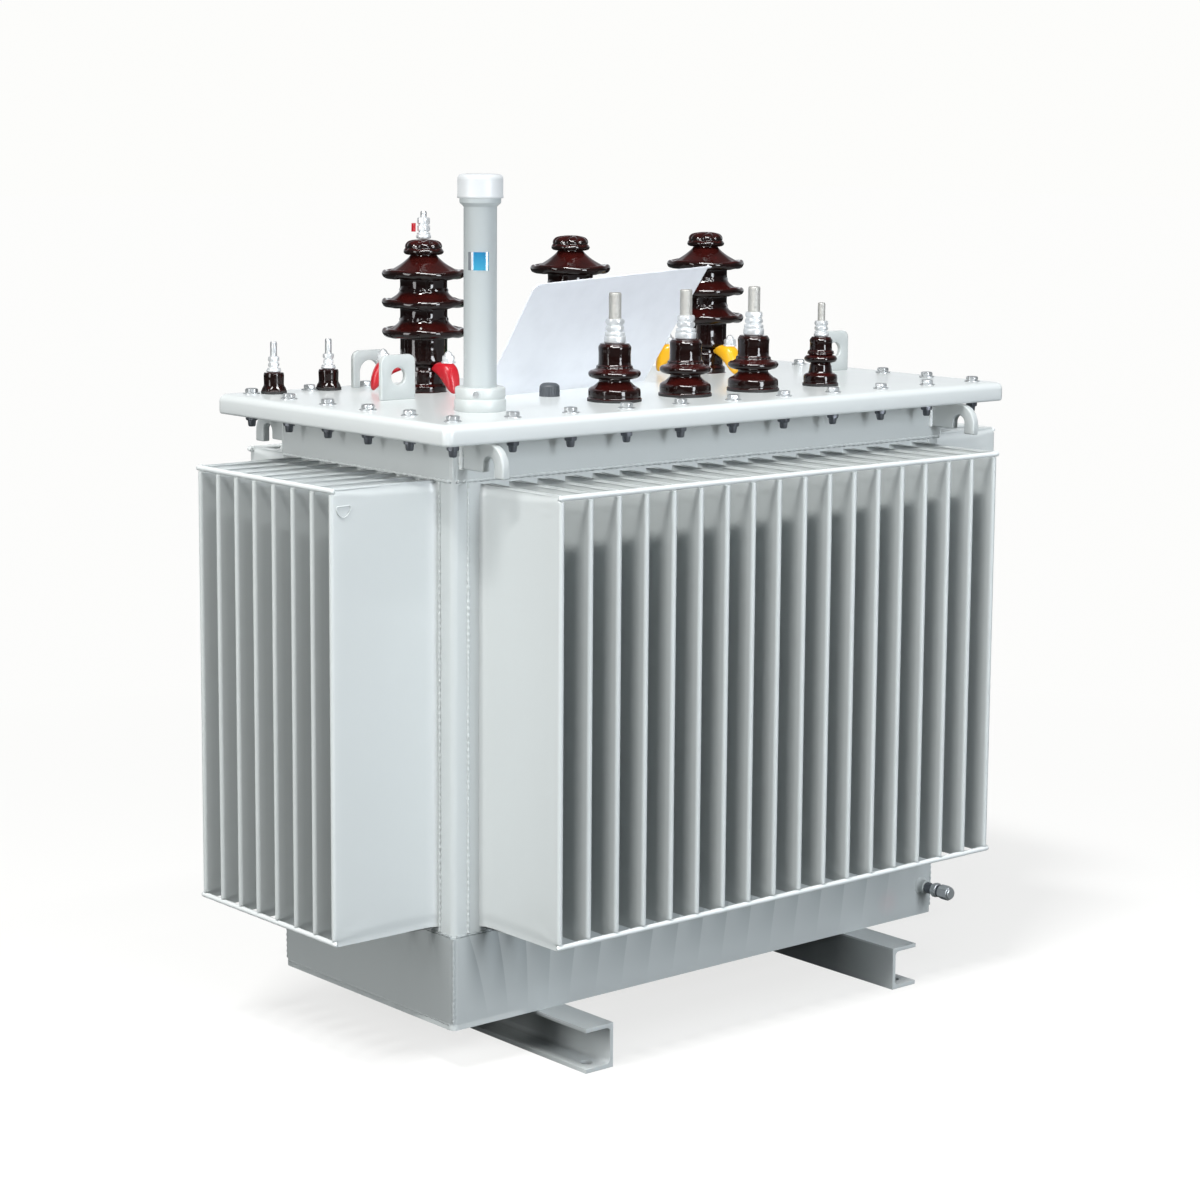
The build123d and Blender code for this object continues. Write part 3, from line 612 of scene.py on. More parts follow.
def fin(depth, bend, top):
    """A closed fin in (along, out, up): the section at each height is side, fold and side.

    Half thickness is seam/2 plus the swell times the rest, and it widens near the root as the
    sheet's fold does. bend moves the tip sideways by that much, growing with the square of the
    depth.
    """
    heights = fin_rows(top)
    share = np.concatenate([[-0.012, 0.0], np.geomspace(0.006, 0.6, 11), np.linspace(0.68, 1.0, 6)])
    fold = np.linspace(0, np.pi, 9)[1:-1]
    drop = np.minimum(heights - FIN_LOW, top - heights)[:, None]
    low = (heights < (FIN_LOW + top) / 2)[:, None]
    straight = depth - FIN_THICKNESS / 2

    def half(out):
        """Half thickness at a share of the depth, with the flare of the root."""
        root = 6.5 * np.exp(-np.clip(out, 0, 1) * depth / 6.5)
        return SEAM / 2 + (FIN_THICKNESS - SEAM) / 2 * swell(drop, np.clip(out, 0, 1), low) + root

    side = half(share[None, :])
    tip = half(np.ones((1, 1)))
    out_side = np.broadcast_to(share * straight, side.shape)
    out_fold = straight + np.sin(fold)[None, :] * (FIN_THICKNESS / 2) + 0 * tip
    along = np.concatenate([side, tip * np.cos(fold)[None, :], -side[:, ::-1]], 1)
    out = np.concatenate([out_side, out_fold, out_side[:, ::-1]], 1)
    wander = bend * (out / depth) ** 2
    notch = depth - 7.0 * (1 - ramp(drop, 7.5, 1.5))
    out = np.minimum(out, notch + 0.02 * (out - notch))
    up = np.broadcast_to(heights[:, None], along.shape)
    return along + wander, out, up


# %% A wall of fins


def slab(along, out, up):
    """A box from three (low, high) pairs, as a closed tube of four-point rings."""
    corner = [[along[0], out[0]], [along[0], out[1]], [along[1], out[1]], [along[1], out[0]]]
    rings = np.stack([np.concatenate([corner, np.full((4, 1), z)], 1) for z in up])
    return closed_tube(rings)


def wall(side):
    """A way to place points on a wall, the fins' depth, and the sheet's width and heights."""
    low, high = (np.array(corner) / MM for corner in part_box(f"corrugated_wall_{side}"))
    out_way = np.array(OUTWARD[side], float)
    along_way = np.array([-out_way[1], out_way[0]])
    axis = 0 if out_way[0] else 1
    origin = (low + high)[:2] / 2
    origin[axis] = low[axis] + SHEET if out_way[axis] > 0 else high[axis] - SHEET

    def placed(along, out, up):
        """The point is origin + along (along the wall) + out (away from the tank), at height up."""
        flat = along[..., None] * along_way + out[..., None] * out_way + origin
        return np.concatenate([flat, up[..., None]], -1)

    return placed, high[axis] - SHEET - low[axis], (high - low)[1 - axis], (low[2], high[2])


def corrugated_wall(side, count, pitch):
    """Fins at a pitch on one sheet, each with the round bead of a weld along its top."""
    placed, depth, width, heights = wall(side)
    shells = []
    for number in range(count):
        along, out, up = fin(depth, rng.normal(0, 0.35), FIN_TOP[side])
        along = along + (number - (count - 1) / 2) * pitch
        shells.append(closed_tube(placed(along, out, up)))
        reach = np.linspace(-2.0, depth - 6.0, 16)
        ridge = placed(0 * reach + along.mean(), reach, 0 * reach + FIN_TOP[side] - RIDGE)
        shells.append(swept(ridge, RIDGE + 0.15 * np.sin(reach * 0.7), 10))
    points, blocks = slab((-width / 2, width / 2), (-SHEET, 0.0), heights)
    shells.append((placed(*points.T), blocks))
    new_piece(f"fins_{side}", shells, fin_paint, [f"corrugated_wall_{side}"], crease=50)


for side, (count, pitch) in WALLS.items():
    corrugated_wall(side, count, pitch)

# %% [markdown]
# ## Tie rods
#
# A round rod is welded along the fin tips, top and bottom, so that the thin fins can't spread.
# The fitter starts it flush with the first fin and bends its free end in behind the last one.

# %% Rods along the fin tips


def tie_rod(side, count, pitch, height):
    """A rod along the tips whose free end curls in towards the wall."""
    placed, depth, _, _ = wall(side)
    half = (count - 1) / 2 * pitch
    way = -1 if side == "left" else 1
    out = depth - 4.0
    line = [(-half - 3.5, out - 1.0), (-half, out)]
    line += [(t, out) for t in np.linspace(-half + 20, half - 20, 24)]
    line += [(half + 4, out), (half + 8, out - 1.5), (half + 10, out - 5), (half + 10, out - 10)]
    line = np.array(line)
    path = smooth_line(placed(way * line[:, 0], line[:, 1], np.full(len(line), height)), 3)
    radii = 3.85 + 0.1 * np.sin(np.arange(len(path)) * 0.9)
    radii[[0, -1]] = 3.2
    return swept(path, radii, 14)


for side, (count, pitch) in WALLS.items():
    rods = [tie_rod(side, count, pitch, z) for z in (FIN_LOW + 4.0, FIN_TOP[side] - 4.0)]
    new_piece(f"rods_{side}", rods, lit_rod_paint, [f"fin_rods_{side}"], crease=70)

# %% [markdown]
# ## Cover
#
# The cover is a pressed plate with its rim folded down. Walking once round a rounded rectangle
# gives one ring of points; rings at several insets and heights make the fold, the lip and its
# inside, and two fans close the plate above and below.

# %% Pressed cover


def rectangle_ring(half_x, half_y, corner, height, per_corner=9):
    """Points round a rounded rectangle, counter-clockwise from the +x +y corner."""
    quarter = np.linspace(0, np.pi / 2, per_corner)
    centres = [(half_x - corner, half_y - corner, 0), (corner - half_x, half_y - corner, 1)]
    centres += [(corner - half_x, corner - half_y, 2), (half_x - corner, corner - half_y, 3)]
    arcs = []
    for x, y, turns in centres:
        angle = quarter + turns * np.pi / 2
        arcs.append(np.stack([x + corner * np.cos(angle), y + corner * np.sin(angle)], -1))
    ring = np.concatenate(arcs)
    return np.concatenate([ring, np.full((len(ring), 1), height)], 1)


cover_low, cover_high = (np.array(corner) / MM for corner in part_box("cover"))
half_x, half_y = (cover_high - cover_low)[:2] / 2
bend_up = np.linspace(0, np.pi / 2, 9)
lip, top = cover_low[2], cover_high[2]
RIM = 11.0
rows = offsets(0, lip, (6, 20), (6, 3), (5, 0.6), (3.6, 0), (2, 0.3), (0.6, 1.6), (0, 4))
rows += [(RIM - RIM * math.cos(a), top - RIM + RIM * math.sin(a)) for a in bend_up]
rings = np.stack([rectangle_ring(half_x - i, half_y - i, max(13.0 - i, 1.5), z) for i, z in rows])
new_piece("pressed_cover", [closed_tube(rings)], cover_paint, ["cover"], crease=60)

# %% [markdown]
# ## Porcelain
#
# Bushings are turned shapes, so a profile of radius and height is all they need. The sheds are
# concave on top, like a pagoda roof, and end in a fat rounded rim. Fired clay is never quite
# round, so the radius wobbles by a few tenths of a millimetre.

# %% Tall bushings
RIMS = (89, 132, 175)
CORE, SHED = 35.0, 62.0


def fired(angle, radius, height, rings=()):
    """A slow wobble of radius and rim height, and a lumpy roll of glaze at each ring's height."""
    wobble = 0.005 * np.sin(2 * angle + height / 37) + 0.003 * np.sin(5 * angle + height / 21)
    out = ramp(radius, 28.0, 30.0)
    sag = 0.8 * np.sin(3 * angle + height / 11) + 0.5 * np.sin(8 * angle + height / 7)
    sag = sag + 0.3 * np.sin(13 * angle)
    lumps = 0.0
    for ring in rings:
        beads = 0.5 + 0.5 * np.sin(13 * angle + 2.5 * np.sin(3 * angle + ring))
        lumps = lumps + 1.5 * np.exp(-(((height - ring) / 2.2) ** 2)) * beads
    return radius * (1 - 0.008 + wobble) + lumps, height + out * sag


def tall_bushing(node, hub):
    """Three sheds on a thick core, a neck and a knob, from the foot up."""
    x, y, _, _ = middle_of(node)
    profile = [(0.1, 0.3), (33, 0.3), (34, 1.5), (34, 8), (33, 10), (30.5, 12.5), (30, 16)]
    profile += [(30, 30.5), (28.5, 32), (25.5, 32.6), (25, 34), (25, 39), (28, 40.8), (33.6, 42.5)]
    profile += [(CORE, 46), (CORE, 60)]
    for rim in RIMS:
        profile += offsets(0, rim, (CORE, -13), (35.8, -8.6), (40, -6.8), (48, -6.8), (55, -7.2))
        profile += offsets(0, rim, (59.4, -5.6), (61.6, -2.4), (SHED, 0.6), (60.8, 3.6), (58.2, 5.2))
        profile += offsets(0, rim, (55.6, 4.8), (53.4, 3.6), (50.5, 4))
        roof = ((44.5, 7.6), (39.5, 11.6), (36.6, 15.6), (35.2, 19), (CORE, 23))
        if rim == RIMS[-1]:
            roof = ((43, 8), (34.5, 13.4), (27.5, 18.8), (22.6, 23.2), (20, 26.4))
        profile += offsets(0, rim, *roof)
    profile = smooth_line(profile, 4)
    knob = [(20, 201.8), (24.5, 202.2), (28, 203.4), (29.8, 206), (29.6, 209.2), (28.2, 211.6), (27.6, 213)]
    knob += [(28, 215.4), (26.8, 219), (23, 222.4), (16, 224.4), (8, 225.2), (2, 225.5), (0.1, 225.5)]
    knob = smooth_line(knob, 5)

    def swirled(angle, radius, height):
        """Curved grooves run out over the knob's top, deepest half way."""
        rolls = [RIMS[0] + 19, RIMS[1] + 19, RIMS[0] - 42]
        radius, height = fired(angle, radius, height, rolls)
        share = ramp(height, 208.0, 6.0)
        groove = 1 - np.abs(np.sin(3.5 * angle + radius / 7.0 + height / 9.0)) ** 0.6
        depth = share * groove * ramp(radius, hub, 8.0)
        return radius - 2.2 * depth, height - share * 0.4 - 3.4 * depth

    shell = turned(np.concatenate([profile, knob]), (x, y, deck_z), 112, swirled)
    name = node.replace("hv_bushing", "tall_porcelain")
    new_piece(name, [shell], porcelain, [node])


for phase in phases:
    tall_bushing(f"hv_bushing_{phase}", 12.0 if phase == "left" else 0.0)

# %% Short bushings and pockets


def short_bushing(node, name, base, base_top, waist, waist_z, shed, shed_z, body, top):
    """A flared base, one fat shed, a roll of glaze above it and a plain body with a bevelled brow."""
    x, y, _, _ = middle_of(node)
    profile = [(0.1, 4), (base - 1, 4), (base, 5.5)]
    profile += offsets(base, base_top, (0, -6), (-1.2, -2.4), (-4.5, 0), (-8, 1.8))
    profile += [(waist + 1.5, waist_z - 2), (waist, waist_z), (waist + 1.2, shed_z - 6.6)]
    profile += offsets(shed, shed_z, (-7.5, -6.2), (-3.2, -4.6), (-0.7, -2.2), (0, 0.4))
    profile += offsets(shed, shed_z, (-0.9, 3.2), (-3.8, 5.4), (-7.5, 6.2))
    profile += offsets(body, shed_z, (3.2, 8), (1.2, 10), (1.4, 12), (-0.2, 14.5))
    profile += [(body - 0.5, (shed_z + top) / 2 + 7)]
    profile += offsets(body, top, (0, -7), (-0.5, -4), (-2.6, -1.2), (-4.6, 0)) + [(0.1, top)]

    def shape(angle, radius, height):
        return fired(angle, radius, height, [shed_z + 10.5])

    shell = turned(smooth_line(profile, 4), (x, y, deck_z), 88, shape)
    new_piece(name, [shell], porcelain, [node])


for number in (1, 2, 3):
    name = f"short_porcelain_{number}"
    short_bushing(f"lv_bushing_{number}", name, 38.5, 20, 23, 29, 38.5, 39, 24, 83)
short_bushing("neutral_bushing", "neutral_porcelain", 26.5, 19, 15, 34, 25.5, 41, 17.5, 75)

# The two small pockets have a lobed foot and a short body.
rows = [(0.1, 4), (17, 4), (17.9, 5), (17.6, 7), (16, 10), (14.8, 12.6), (14.6, 16), (14.9, 26)]
rows = smooth_line(rows + [(14.4, 29.4), (12.8, 30.8), (0.1, 31)], 4)


def lobed(angle, radius, height):
    """Six shallow lobes round the foot, fading out up the body."""
    return radius * (1 - 0.05 * (1 + np.cos(6 * angle)) * (1 - ramp(height, 7.0, 6.0))), height


pockets = [turned(rows, (x, 232.0, deck_z), 72, lobed) for x in (-478.0, -381.0)]
new_piece("pocket_bodies", pockets, porcelain, ["aux_bushings"])

# %% [markdown]
# ## Studs and nuts
#
# A nut is a turned profile whose radius is stretched to a hexagon: at an angle from a flat's
# middle, the radius is the flat's distance divided by the cosine of that angle. A thread is the
# same trick, with the radius following a wave that climbs as it goes round.

# %% Nuts, threads and rings


def hexagon(angle, radius):
    """Radius of a hexagon whose corners are at the given radius, rounded a little there."""
    from_flat = np.mod(angle + np.pi / 6, np.pi / 3) - np.pi / 6
    flat = radius * math.cos(math.pi / 6)
    return np.minimum(flat / np.cos(from_flat), radius * 0.985)


def nut(centre, radius, low, high, turn=0.0):
    """Hexagon nut between two heights, its corners chamfered by a cone at both faces."""
    flat = radius * math.cos(math.pi / 6)
    bevel = (radius - flat) * 0.8 + 0.8
    rows = [(0.1, low), (flat - 0.8, low), (flat + 0.2, low + 0.5), (radius, low + bevel)]
    rows += [(radius, high - bevel), (flat + 0.2, high - 0.5), (flat - 0.8, high), (0.1, high)]

    def shape(angle, r, z):
        return np.minimum(r, hexagon(angle + turn, radius)), z

    return turned(rows, centre, 48, shape)


def threaded(centre, radius, low, high, pitch, columns=40):
    """A stud: the radius dips by a thread's depth along a wave of height and angle."""
    heights = np.linspace(low, high, int((high - low) / pitch * 6))
    radii = radius * (0.86 + 0.14 * ramp(high, heights, 1.8))
    profile = np.stack([radii, heights], -1)
    profile = np.concatenate([[(0.1, low)], profile, [(0.1, high)]])

    def shape(angle, r, z):
        wave = 0.5 + 0.5 * np.cos(2 * np.pi * z / pitch - angle)
        return r - (r > 1) * 0.16 * pitch * wave**2, z

    return turned(profile, centre, columns, shape)


def washer(centre, radius, low, high):
    """A flat disc with a small bevel at both faces."""
    rows = [(0.1, low), (radius - 0.4, low), (radius, low + 0.4)]
    rows += [(radius, high - 0.4), (radius - 0.4, high), (0.1, high)]
    return turned(rows, centre, 40)


def rounded_ring(centre, radius, low, high, soft=1.6):
    """A disc whose edge is a half round at both faces."""
    bend = np.linspace(0, np.pi / 2, 5)
    lower = np.stack([radius - soft + soft * np.sin(bend), low + soft - soft * np.cos(bend)], -1)
    upper = np.stack([radius - soft + soft * np.cos(bend), high - soft + soft * np.sin(bend)], -1)
    return turned(np.concatenate([[(0.1, low)], lower, upper, [(0.1, high)]]), centre, 44)


# %% Terminals


def terminal(node, name, finish, foot, collar, collar_height, nut_radius, nut_height, stud, pitch):
    """A rounded collar, two nuts with a dark gap between them, and a plain-looking stud."""
    x, y, _, top = middle_of(node)
    centre = (x, y, 0.0)
    base = deck_z + foot + 0.3
    mid = base + collar_height
    upper = mid + nut_height
    inner = nut_radius - 2.6
    shells = [
        rounded_ring(centre, collar, base, base + collar_height * 0.62, 2.2),
        rounded_ring(centre, collar - 1.0, base + collar_height * 0.60, mid - 1.0, 1.6),
        washer(centre, inner, mid - 1.0, mid + 0.6),
        nut(centre, nut_radius, mid + 0.6, upper - 0.9, rng.uniform(0, 1)),
        washer(centre, inner, upper - 0.9, upper + 0.5),
        nut(centre, nut_radius, upper + 0.5, upper + nut_height, rng.uniform(0, 1)),
    ]
    new_piece(name.replace("stud", "nuts"), shells, pale_zinc, crease=35)
    bolt = [threaded(centre, stud, mid, top, pitch)]
    new_piece(name, bolt, finish, [node], crease=35)


for number in (1, 2, 3):
    terminal(f"lv_terminal_{number}", f"short_stud_{number}", tin, 83, 15.5, 17, 14, 9, 9.2, 2)
terminal("neutral_terminal", "neutral_stud", tin, 75, 11.5, 9, 11, 7.5, 5.8, 1.5)
terminal("hv_terminal_left", "tall_stud", zinc, 225.5, 11, 10, 10, 10.5, 4.7, 1.5)
for number in (1, 2):
    terminal(f"aux_terminal_{number}", f"pocket_stud_{number}", zinc, 31, 11, 7, 8.5, 8, 5, 1.5)
tag_x, tag_y, _, tag_top = middle_of("hv_terminal_left")
tag_heights = (tag_top - 30.0, tag_top - 17.5)
points, blocks = slab((tag_x - 14.4, tag_x - 8.6), (tag_y + 7.4, tag_y + 10.4), tag_heights)
points = points + rng.normal(0, 0.2, points.shape)
new_piece("phase_tag", [(points, blocks)], red_paint, crease=60)

# %% [markdown]
# ## Claws
#
# Each tall bushing is held down by cast claws whose noses sit in the groove of its foot. A cast
# claw has no straight edges: its cross-section is a rounded box that swells from the nose to the
# bolt and shrinks to the toe. Walking along the claw, four numbers give each section, its lower
# and upper height and its half width, and a superellipse with the power 3 rounds the box.

# %% Cast claws and their pointed nuts
CLAW = np.array([
    (27, 33.4, 39, 5.5), (30, 32.4, 39.6, 8), (34.5, 31.6, 40.6, 10), (38, 30.4, 44.4, 11.4),
    (46, 27, 47, 12.8), (56, 20, 47.4, 13.4), (64, 12, 45.4, 13), (70, 5.6, 41, 11.6),
    (75, 2.2, 32, 9.4), (78, 4, 22, 6), (79, 8, 15, 2.6),
])


def claw(x, y, heading):
    """A claw from the axis outward: sections of a superellipse |t/w|^3 + |z/h|^3 = 1."""
    rows = smooth_line(CLAW, 3)
    angle = np.linspace(0, 2 * np.pi, 28, endpoint=False)
    round_cos, round_sin = (np.sign(t) * np.abs(t) ** (2 / 3) for t in (np.cos(angle), np.sin(angle)))
    reach, low, high, half = (rows[:, i : i + 1] for i in range(4))
    across = half * round_cos
    up = (low + high) / 2 + (high - low) / 2 * round_sin
    turn = math.radians(heading)
    way = np.array([math.cos(turn), math.sin(turn)])
    side = np.array([-way[1], way[0]])
    flat = reach[..., None] * way + across[..., None] * side + np.array([x, y])
    points = np.concatenate([flat, (deck_z + up)[..., None]], -1)
    return closed_tube(points), (x + 60 * way[0], y + 60 * way[1], deck_z)


def pointed_nut(centre):
    """A washer, a nut and the bolt's cone-shaped end."""
    tip = [(0.1, 57), (6.4, 57), (6.2, 59), (4.6, 61.6), (2.2, 63.6), (0.1, 64.2)]
    body = nut(centre, 9.8, 48.6, 57.2, rng.uniform(0, 1))
    return [washer(centre, 10.4, 46, 48.6), body, turned(tip, centre, 24)]


tints = (("red", red_paint), ("green", green_paint), ("yellow", yellow_paint))
for phase, (tint, paint) in zip(phases, tints):
    x, y, _, _ = middle_of(f"hv_bushing_{phase}")
    first = 90 if phase == "middle" else -90
    bodies, nuts = [], []
    for heading in (first, first + 120, first + 240):
        body, bolt = claw(x, y, heading)
        bodies.append(body)
        nuts += pointed_nut(bolt)
    new_piece(f"claws_{tint}", bodies, paint, [f"hv_clamp_{tint}"], crease=60)
    new_piece(f"claw_nuts_{tint}", nuts, pale_zinc, crease=35)

# %% [markdown]
# ## Cover bolts
#
# The cover is held by thirty bolts. Their heads stand on the deck in a row near the edge, and their ends
# hang below the lip, dark with painted shade. Each bolt is a few profiles turned about its own axis, and
# all heads make one piece, and all ends another.

# %% Bolt heads and bolt ends
bolt_x = np.arange(11) * 102.0 - 510.0
bolt_y = np.arange(6) * 97.0 - 242.5
rows_along = [(x, y) for y in (-242.5, 242.5) for x in bolt_x]
rows_across = [(x, y) for x in (-510.0, 510.0) for y in bolt_y[1:-1]]
bolt_places = rows_along + rows_across
cone = [(0.1, 875.6), (4.4, 875.6), (5.4, 877), (6.2, 884.5), (0.1, 884.5)]
heads, ends = [], []
for x, y in bolt_places:
    spin = rng.uniform(0, np.pi / 3)
    centre = (x, y, 0)
    heads.append(washer(centre, 12, deck_z, deck_z + 1.8))
    heads.append(nut(centre, 9.6, deck_z + 1.8, deck_z + 8.4, spin))
    ends += [washer(centre, 10.5, 897.6, 900), nut(centre, 9.4, 884.5, 897.6, spin + 0.3)]
    ends.append(turned(cone, centre, 20))
new_piece("bolt_heads", heads, zinc, crease=35)
# Painted shade: the bolt ends are dark for the shade under the lip.
new_piece("bolt_ends", ends, dark_steel_and_shade, crease=35)
print(len(bolt_places), "cover bolts")

# %% [markdown]
# ## Weld beads
#
# A weld laid by hand is a row of overlapping ripples, painted over with the rest. A round
# section is carried along the joint, and its radius swells and shrinks along the way.

# %% Welds


def bead(start, end, radius, ripple=7.0, roughness=0.22):
    """A straight weld from start to end whose radius ripples along its length."""
    start, end = np.asarray(start, float), np.asarray(end, float)
    length = np.linalg.norm(end - start)
    steps = max(8, int(length / 2.2))
    t = np.linspace(0, 1, steps)
    path = start + (end - start) * t[:, None]
    wave = np.sin(2 * np.pi * t * length / ripple + 2 * np.sin(t * length / 31)) * 0.5 + 0.5
    slow = np.interp(t, np.linspace(0, 1, 12), rng.normal(0, 1, 12))
    radii = radius * (1 + roughness * (wave - 0.5) + 0.10 * slow)
    up = (0.0, 0.0, 1.0) if abs((end - start)[2]) < length * 0.7 else (1.0, 0.0, 0.0)
    return swept(path, radii, 8, up)


tank_x, tank_y = 483.5, 207.0
wall_x, wall_y = 480.5, 204.0
beads, hook_beads, skirt_beads = [], [], []


def upright(x, y, low, high, *look):
    """A weld straight up from low to high."""
    return bead((x, y, low), (x, y, high), *look)


for sx, sy in ((-1, -1), (-1, 1), (1, -1), (1, 1)):
    corner = (sx * (tank_x - 2.4), sy * (tank_y - 2.4))
    beads.append(upright(sx * (wall_x - 26), sy * wall_y, 200, 834, 2.4, 9.0, 0.4))
    beads.append(upright(sx * wall_x, sy * (wall_y - 30), 200, 834, 2.2, 9.0, 0.4))
    skirt_beads.append(upright(*corner, 76, 196, 1.7, 9.0, 0.5))
    beads.append(upright(*corner, 840, 898, 2.0))
    for side in (-7.0, 7.0):
        hook_beads.append(upright(sx * 462 + side, sy * (tank_y + 0.5), 853, 894, 3.8, 4.3, 0.35))
long_seams = ((beads, tank_y - 0.8, 836, 2.2), (skirt_beads, wall_y + 0.6, 198.6, 1.5))
short_seams = ((beads, tank_x - 0.8, 836, 2.2, 0.5), (skirt_beads, wall_x + 0.6, 198.6, 1.5, 0.5))
short_seams += ((skirt_beads, tank_x - 1.0, 73, 2.2, 0.4),)
for way in (-1, 1):
    for group, y, z, radius in long_seams:
        group.append(bead((8 - tank_x, way * y, z), (tank_x - 8, way * y, z), radius, 11.0, 0.5))
for way in (-1, 1):
    for group, x, z, radius, roughness in short_seams:
        ends = (way * x, 8 - tank_y, z), (way * x, tank_y - 8, z)
        group.append(bead(*ends, radius, 11.0, roughness))
new_piece("weld_beads", beads, tank_paint, crease=80)
new_piece("hook_welds", hook_beads, lit_rod_paint, crease=80)
new_piece("skirt_welds", skirt_beads, skirt_paint, crease=80)
around = np.linspace(0, 2 * np.pi, 41)
tall = 806 + 7.5 * np.sin(around) + 2.5 * np.cos(2 * around)
mark = np.stack([-634 + 11.5 * np.cos(around), np.full(41, -165.4), tall], -1)
new_piece("fin_mark", [swept(mark, 0.9, 8, up=(0.0, 1.0, 0.0))], fin_paint, crease=80)
print(len(beads), "weld beads")

# %% [markdown]
# ## Filler pipe
#
# The pipe stands in a heavy turned collar: a wide lower ring, a groove, a slightly narrower upper
# ring with a milled top edge and one set screw. At the top the pipe widens to a bell under a
# plain screw cap. All three are profiles turned about the same axis.

# %% Collar, pipe and cap


def aimed(shell, origin, direction):
    """A shell made about the z axis, laid so that z points along a direction from an origin."""
    points, blocks = shell
    ahead = np.asarray(direction, float) / np.linalg.norm(direction)
    side = np.cross((1.0, 0.0, 0.0) if abs(ahead[2]) > 0.9 else (0.0, 0.0, 1.0), ahead)
    side /= np.linalg.norm(side)
    return points @ np.stack([side, np.cross(ahead, side), ahead]) + np.asarray(origin, float), blocks


ORIGIN = (0, 0, 0)
pipe_x, pipe_y, _, _ = middle_of("filler_pipe")
pipe_centre = (pipe_x, pipe_y, deck_z)
collar = [(0.1, 0), (35.6, 0), (36, 0.6), (36, 15), (35.4, 16.2), (34.2, 16.6), (34.2, 18.4), (34.8, 18.9)]
collar += [(35, 19.8), (35, 30.6), (34.4, 32.4), (32.6, 33.4), (24.4, 33.4), (23.3, 32.4)]
collar += [(23.3, 10), (0.1, 10)]


def milled(angle, radius, height):
    """Fine notches round the collar's upper edge."""
    notch = ramp(height, 29.5, 2.0) * (radius > 30)
    return radius - 0.5 * notch * (0.5 + 0.5 * np.cos(56 * angle)), height


screw_angle = math.atan2(CAMERA_PLACE[1] / MM - pipe_y, CAMERA_PLACE[0] / MM - pipe_x) - 0.18
screw_way = (math.cos(screw_angle), math.sin(screw_angle), 0.0)
screw_rows = [(0.1, 0), (5.4, 0), (5.4, 1.2), (4.6, 1.6), (3.4, 1.5), (2.9, 0.9), (1, 0.7), (0.1, 0.7)]
screw_place = (pipe_x + 34.6 * screw_way[0], pipe_y + 34.6 * screw_way[1], deck_z + 25.0)
ring = turned(collar, pipe_centre, 168, milled)
new_piece("pipe_collar", [ring], fitting_paint, ["filler_collar"])
screw = aimed(turned(screw_rows, ORIGIN, 28), screw_place, screw_way)
new_piece("set_screw", [screw], zinc)
tube = [(0.1, 10.2), (22.9, 10.2), (23, 11), (23, 281), (23.6, 282), (28.3, 286.4), (28.7, 287.4)]
tube += [(28.7, 303), (0.1, 303)]
new_piece("standing_pipe", [turned(tube, pipe_centre, 96)], pipe_paint, ["filler_pipe"])
cap = [(0.1, 303.3), (29.2, 303.3), (29.2, 293), (31.4, 293.2), (32, 294.4), (31.8, 296.5), (31.5, 298)]
cap += [(31.7, 318.5), (31.2, 322), (29.4, 324.8), (26, 326), (20, 326.4), (0.1, 326.5)]
new_piece("pipe_cap", [turned(cap, pipe_centre, 96)], white_plastic, ["filler_cap"])

# %% [markdown]
# ## Thermometer pocket, drain valve and plate holder
#
# The pocket's cap has a finely ribbed side to grip. The drain valve is a row of turned rings and
# hexagons that points out of the skirt. The blank holder's edges are rolled, so a thin bar
# follows its outline.

# %% Pocket cap
pocket_x, pocket_y, _, _ = middle_of("thermometer_pocket")
dome = [(0.1, 0), (14.6, 0), (15, 1), (14.8, 12.4), (14, 15.6), (11, 18.4), (6, 19.6), (0.1, 20)]


def ribbed(angle, radius, height):
    """Ribs for the fingers on the upright side only."""
    side = (1 - ramp(height, 13.0, 2.0)) * (radius > 13)
    return radius - 0.35 * side * (0.5 + 0.5 * np.cos(30 * angle)), height


cap_shell = turned(smooth_line(dome, 4), (pocket_x, pocket_y, deck_z), 150, ribbed)
new_piece("pocket_cap", [cap_shell], dark_plastic, ["thermometer_pocket"])

# %% Drain valve
valve_origin = (458.0, -tank_y, 112.0)
outward = (0.0, -1.0, 0.0)
boss = smooth_line([(0.1, -1), (14, -1), (13, 1.5), (11, 4), (10.4, 11), (9.4, 13), (0.1, 13)], 3)
boss = [turned(boss, ORIGIN, 40)]
dark = [nut(ORIGIN, 9.0, 13.0, 23.0, 0.2), rounded_ring(ORIGIN, 7.6, 22.0, 30.0, 1.0)]
dark += [rounded_ring(ORIGIN, 9.6, 38.0, 46.0, 1.2)]
bright = [nut(ORIGIN, 12.0, 29.0, 39.0, 0.5), nut(ORIGIN, 12.0, 44.0, 63.0, 0.1)]
bright += [rounded_ring(ORIGIN, 9.0, 61.0, 66.0, 2.0)]
boss, dark, bright = ([aimed(s, valve_origin, outward) for s in made] for made in (boss, dark, bright))
new_piece("valve_boss", boss, fitting_paint, crease=50)
new_piece("valve_body", dark, dark_steel_and_shade, ["drain_valve"], crease=35)
new_piece("valve_cap", bright, zinc, smooth=False)

# %% Holder rim
turn, lean = math.radians(9), math.radians(32)
edge_x = np.array([math.cos(turn), math.sin(turn), 0.0])
edge_z = np.array([math.sin(turn) * math.sin(lean), -math.cos(turn) * math.sin(lean), math.cos(lean)])
corner = np.array([-271.5, 2.0, deck_z]) + np.cross(edge_x, edge_z) * -1.0
outline = [(2, 2), (2, 100), (2, 184), (5.2, 192.8), (13, 196.6), (60, 198.6), (200, 204.4)]
outline += [(376, 211.8), (380.6, 211.6), (381, 207), (373, 100), (365.4, 2)]
path = smooth_line(outline, 8)
rim_path = corner + path[:, :1] * edge_x + path[:, 1:] * edge_z
rim = swept(rim_path, 1.5, 8, up=(0.3, 1.0, 0.2))
new_piece("holder_rim", [rim], holder_sheet, crease=80)

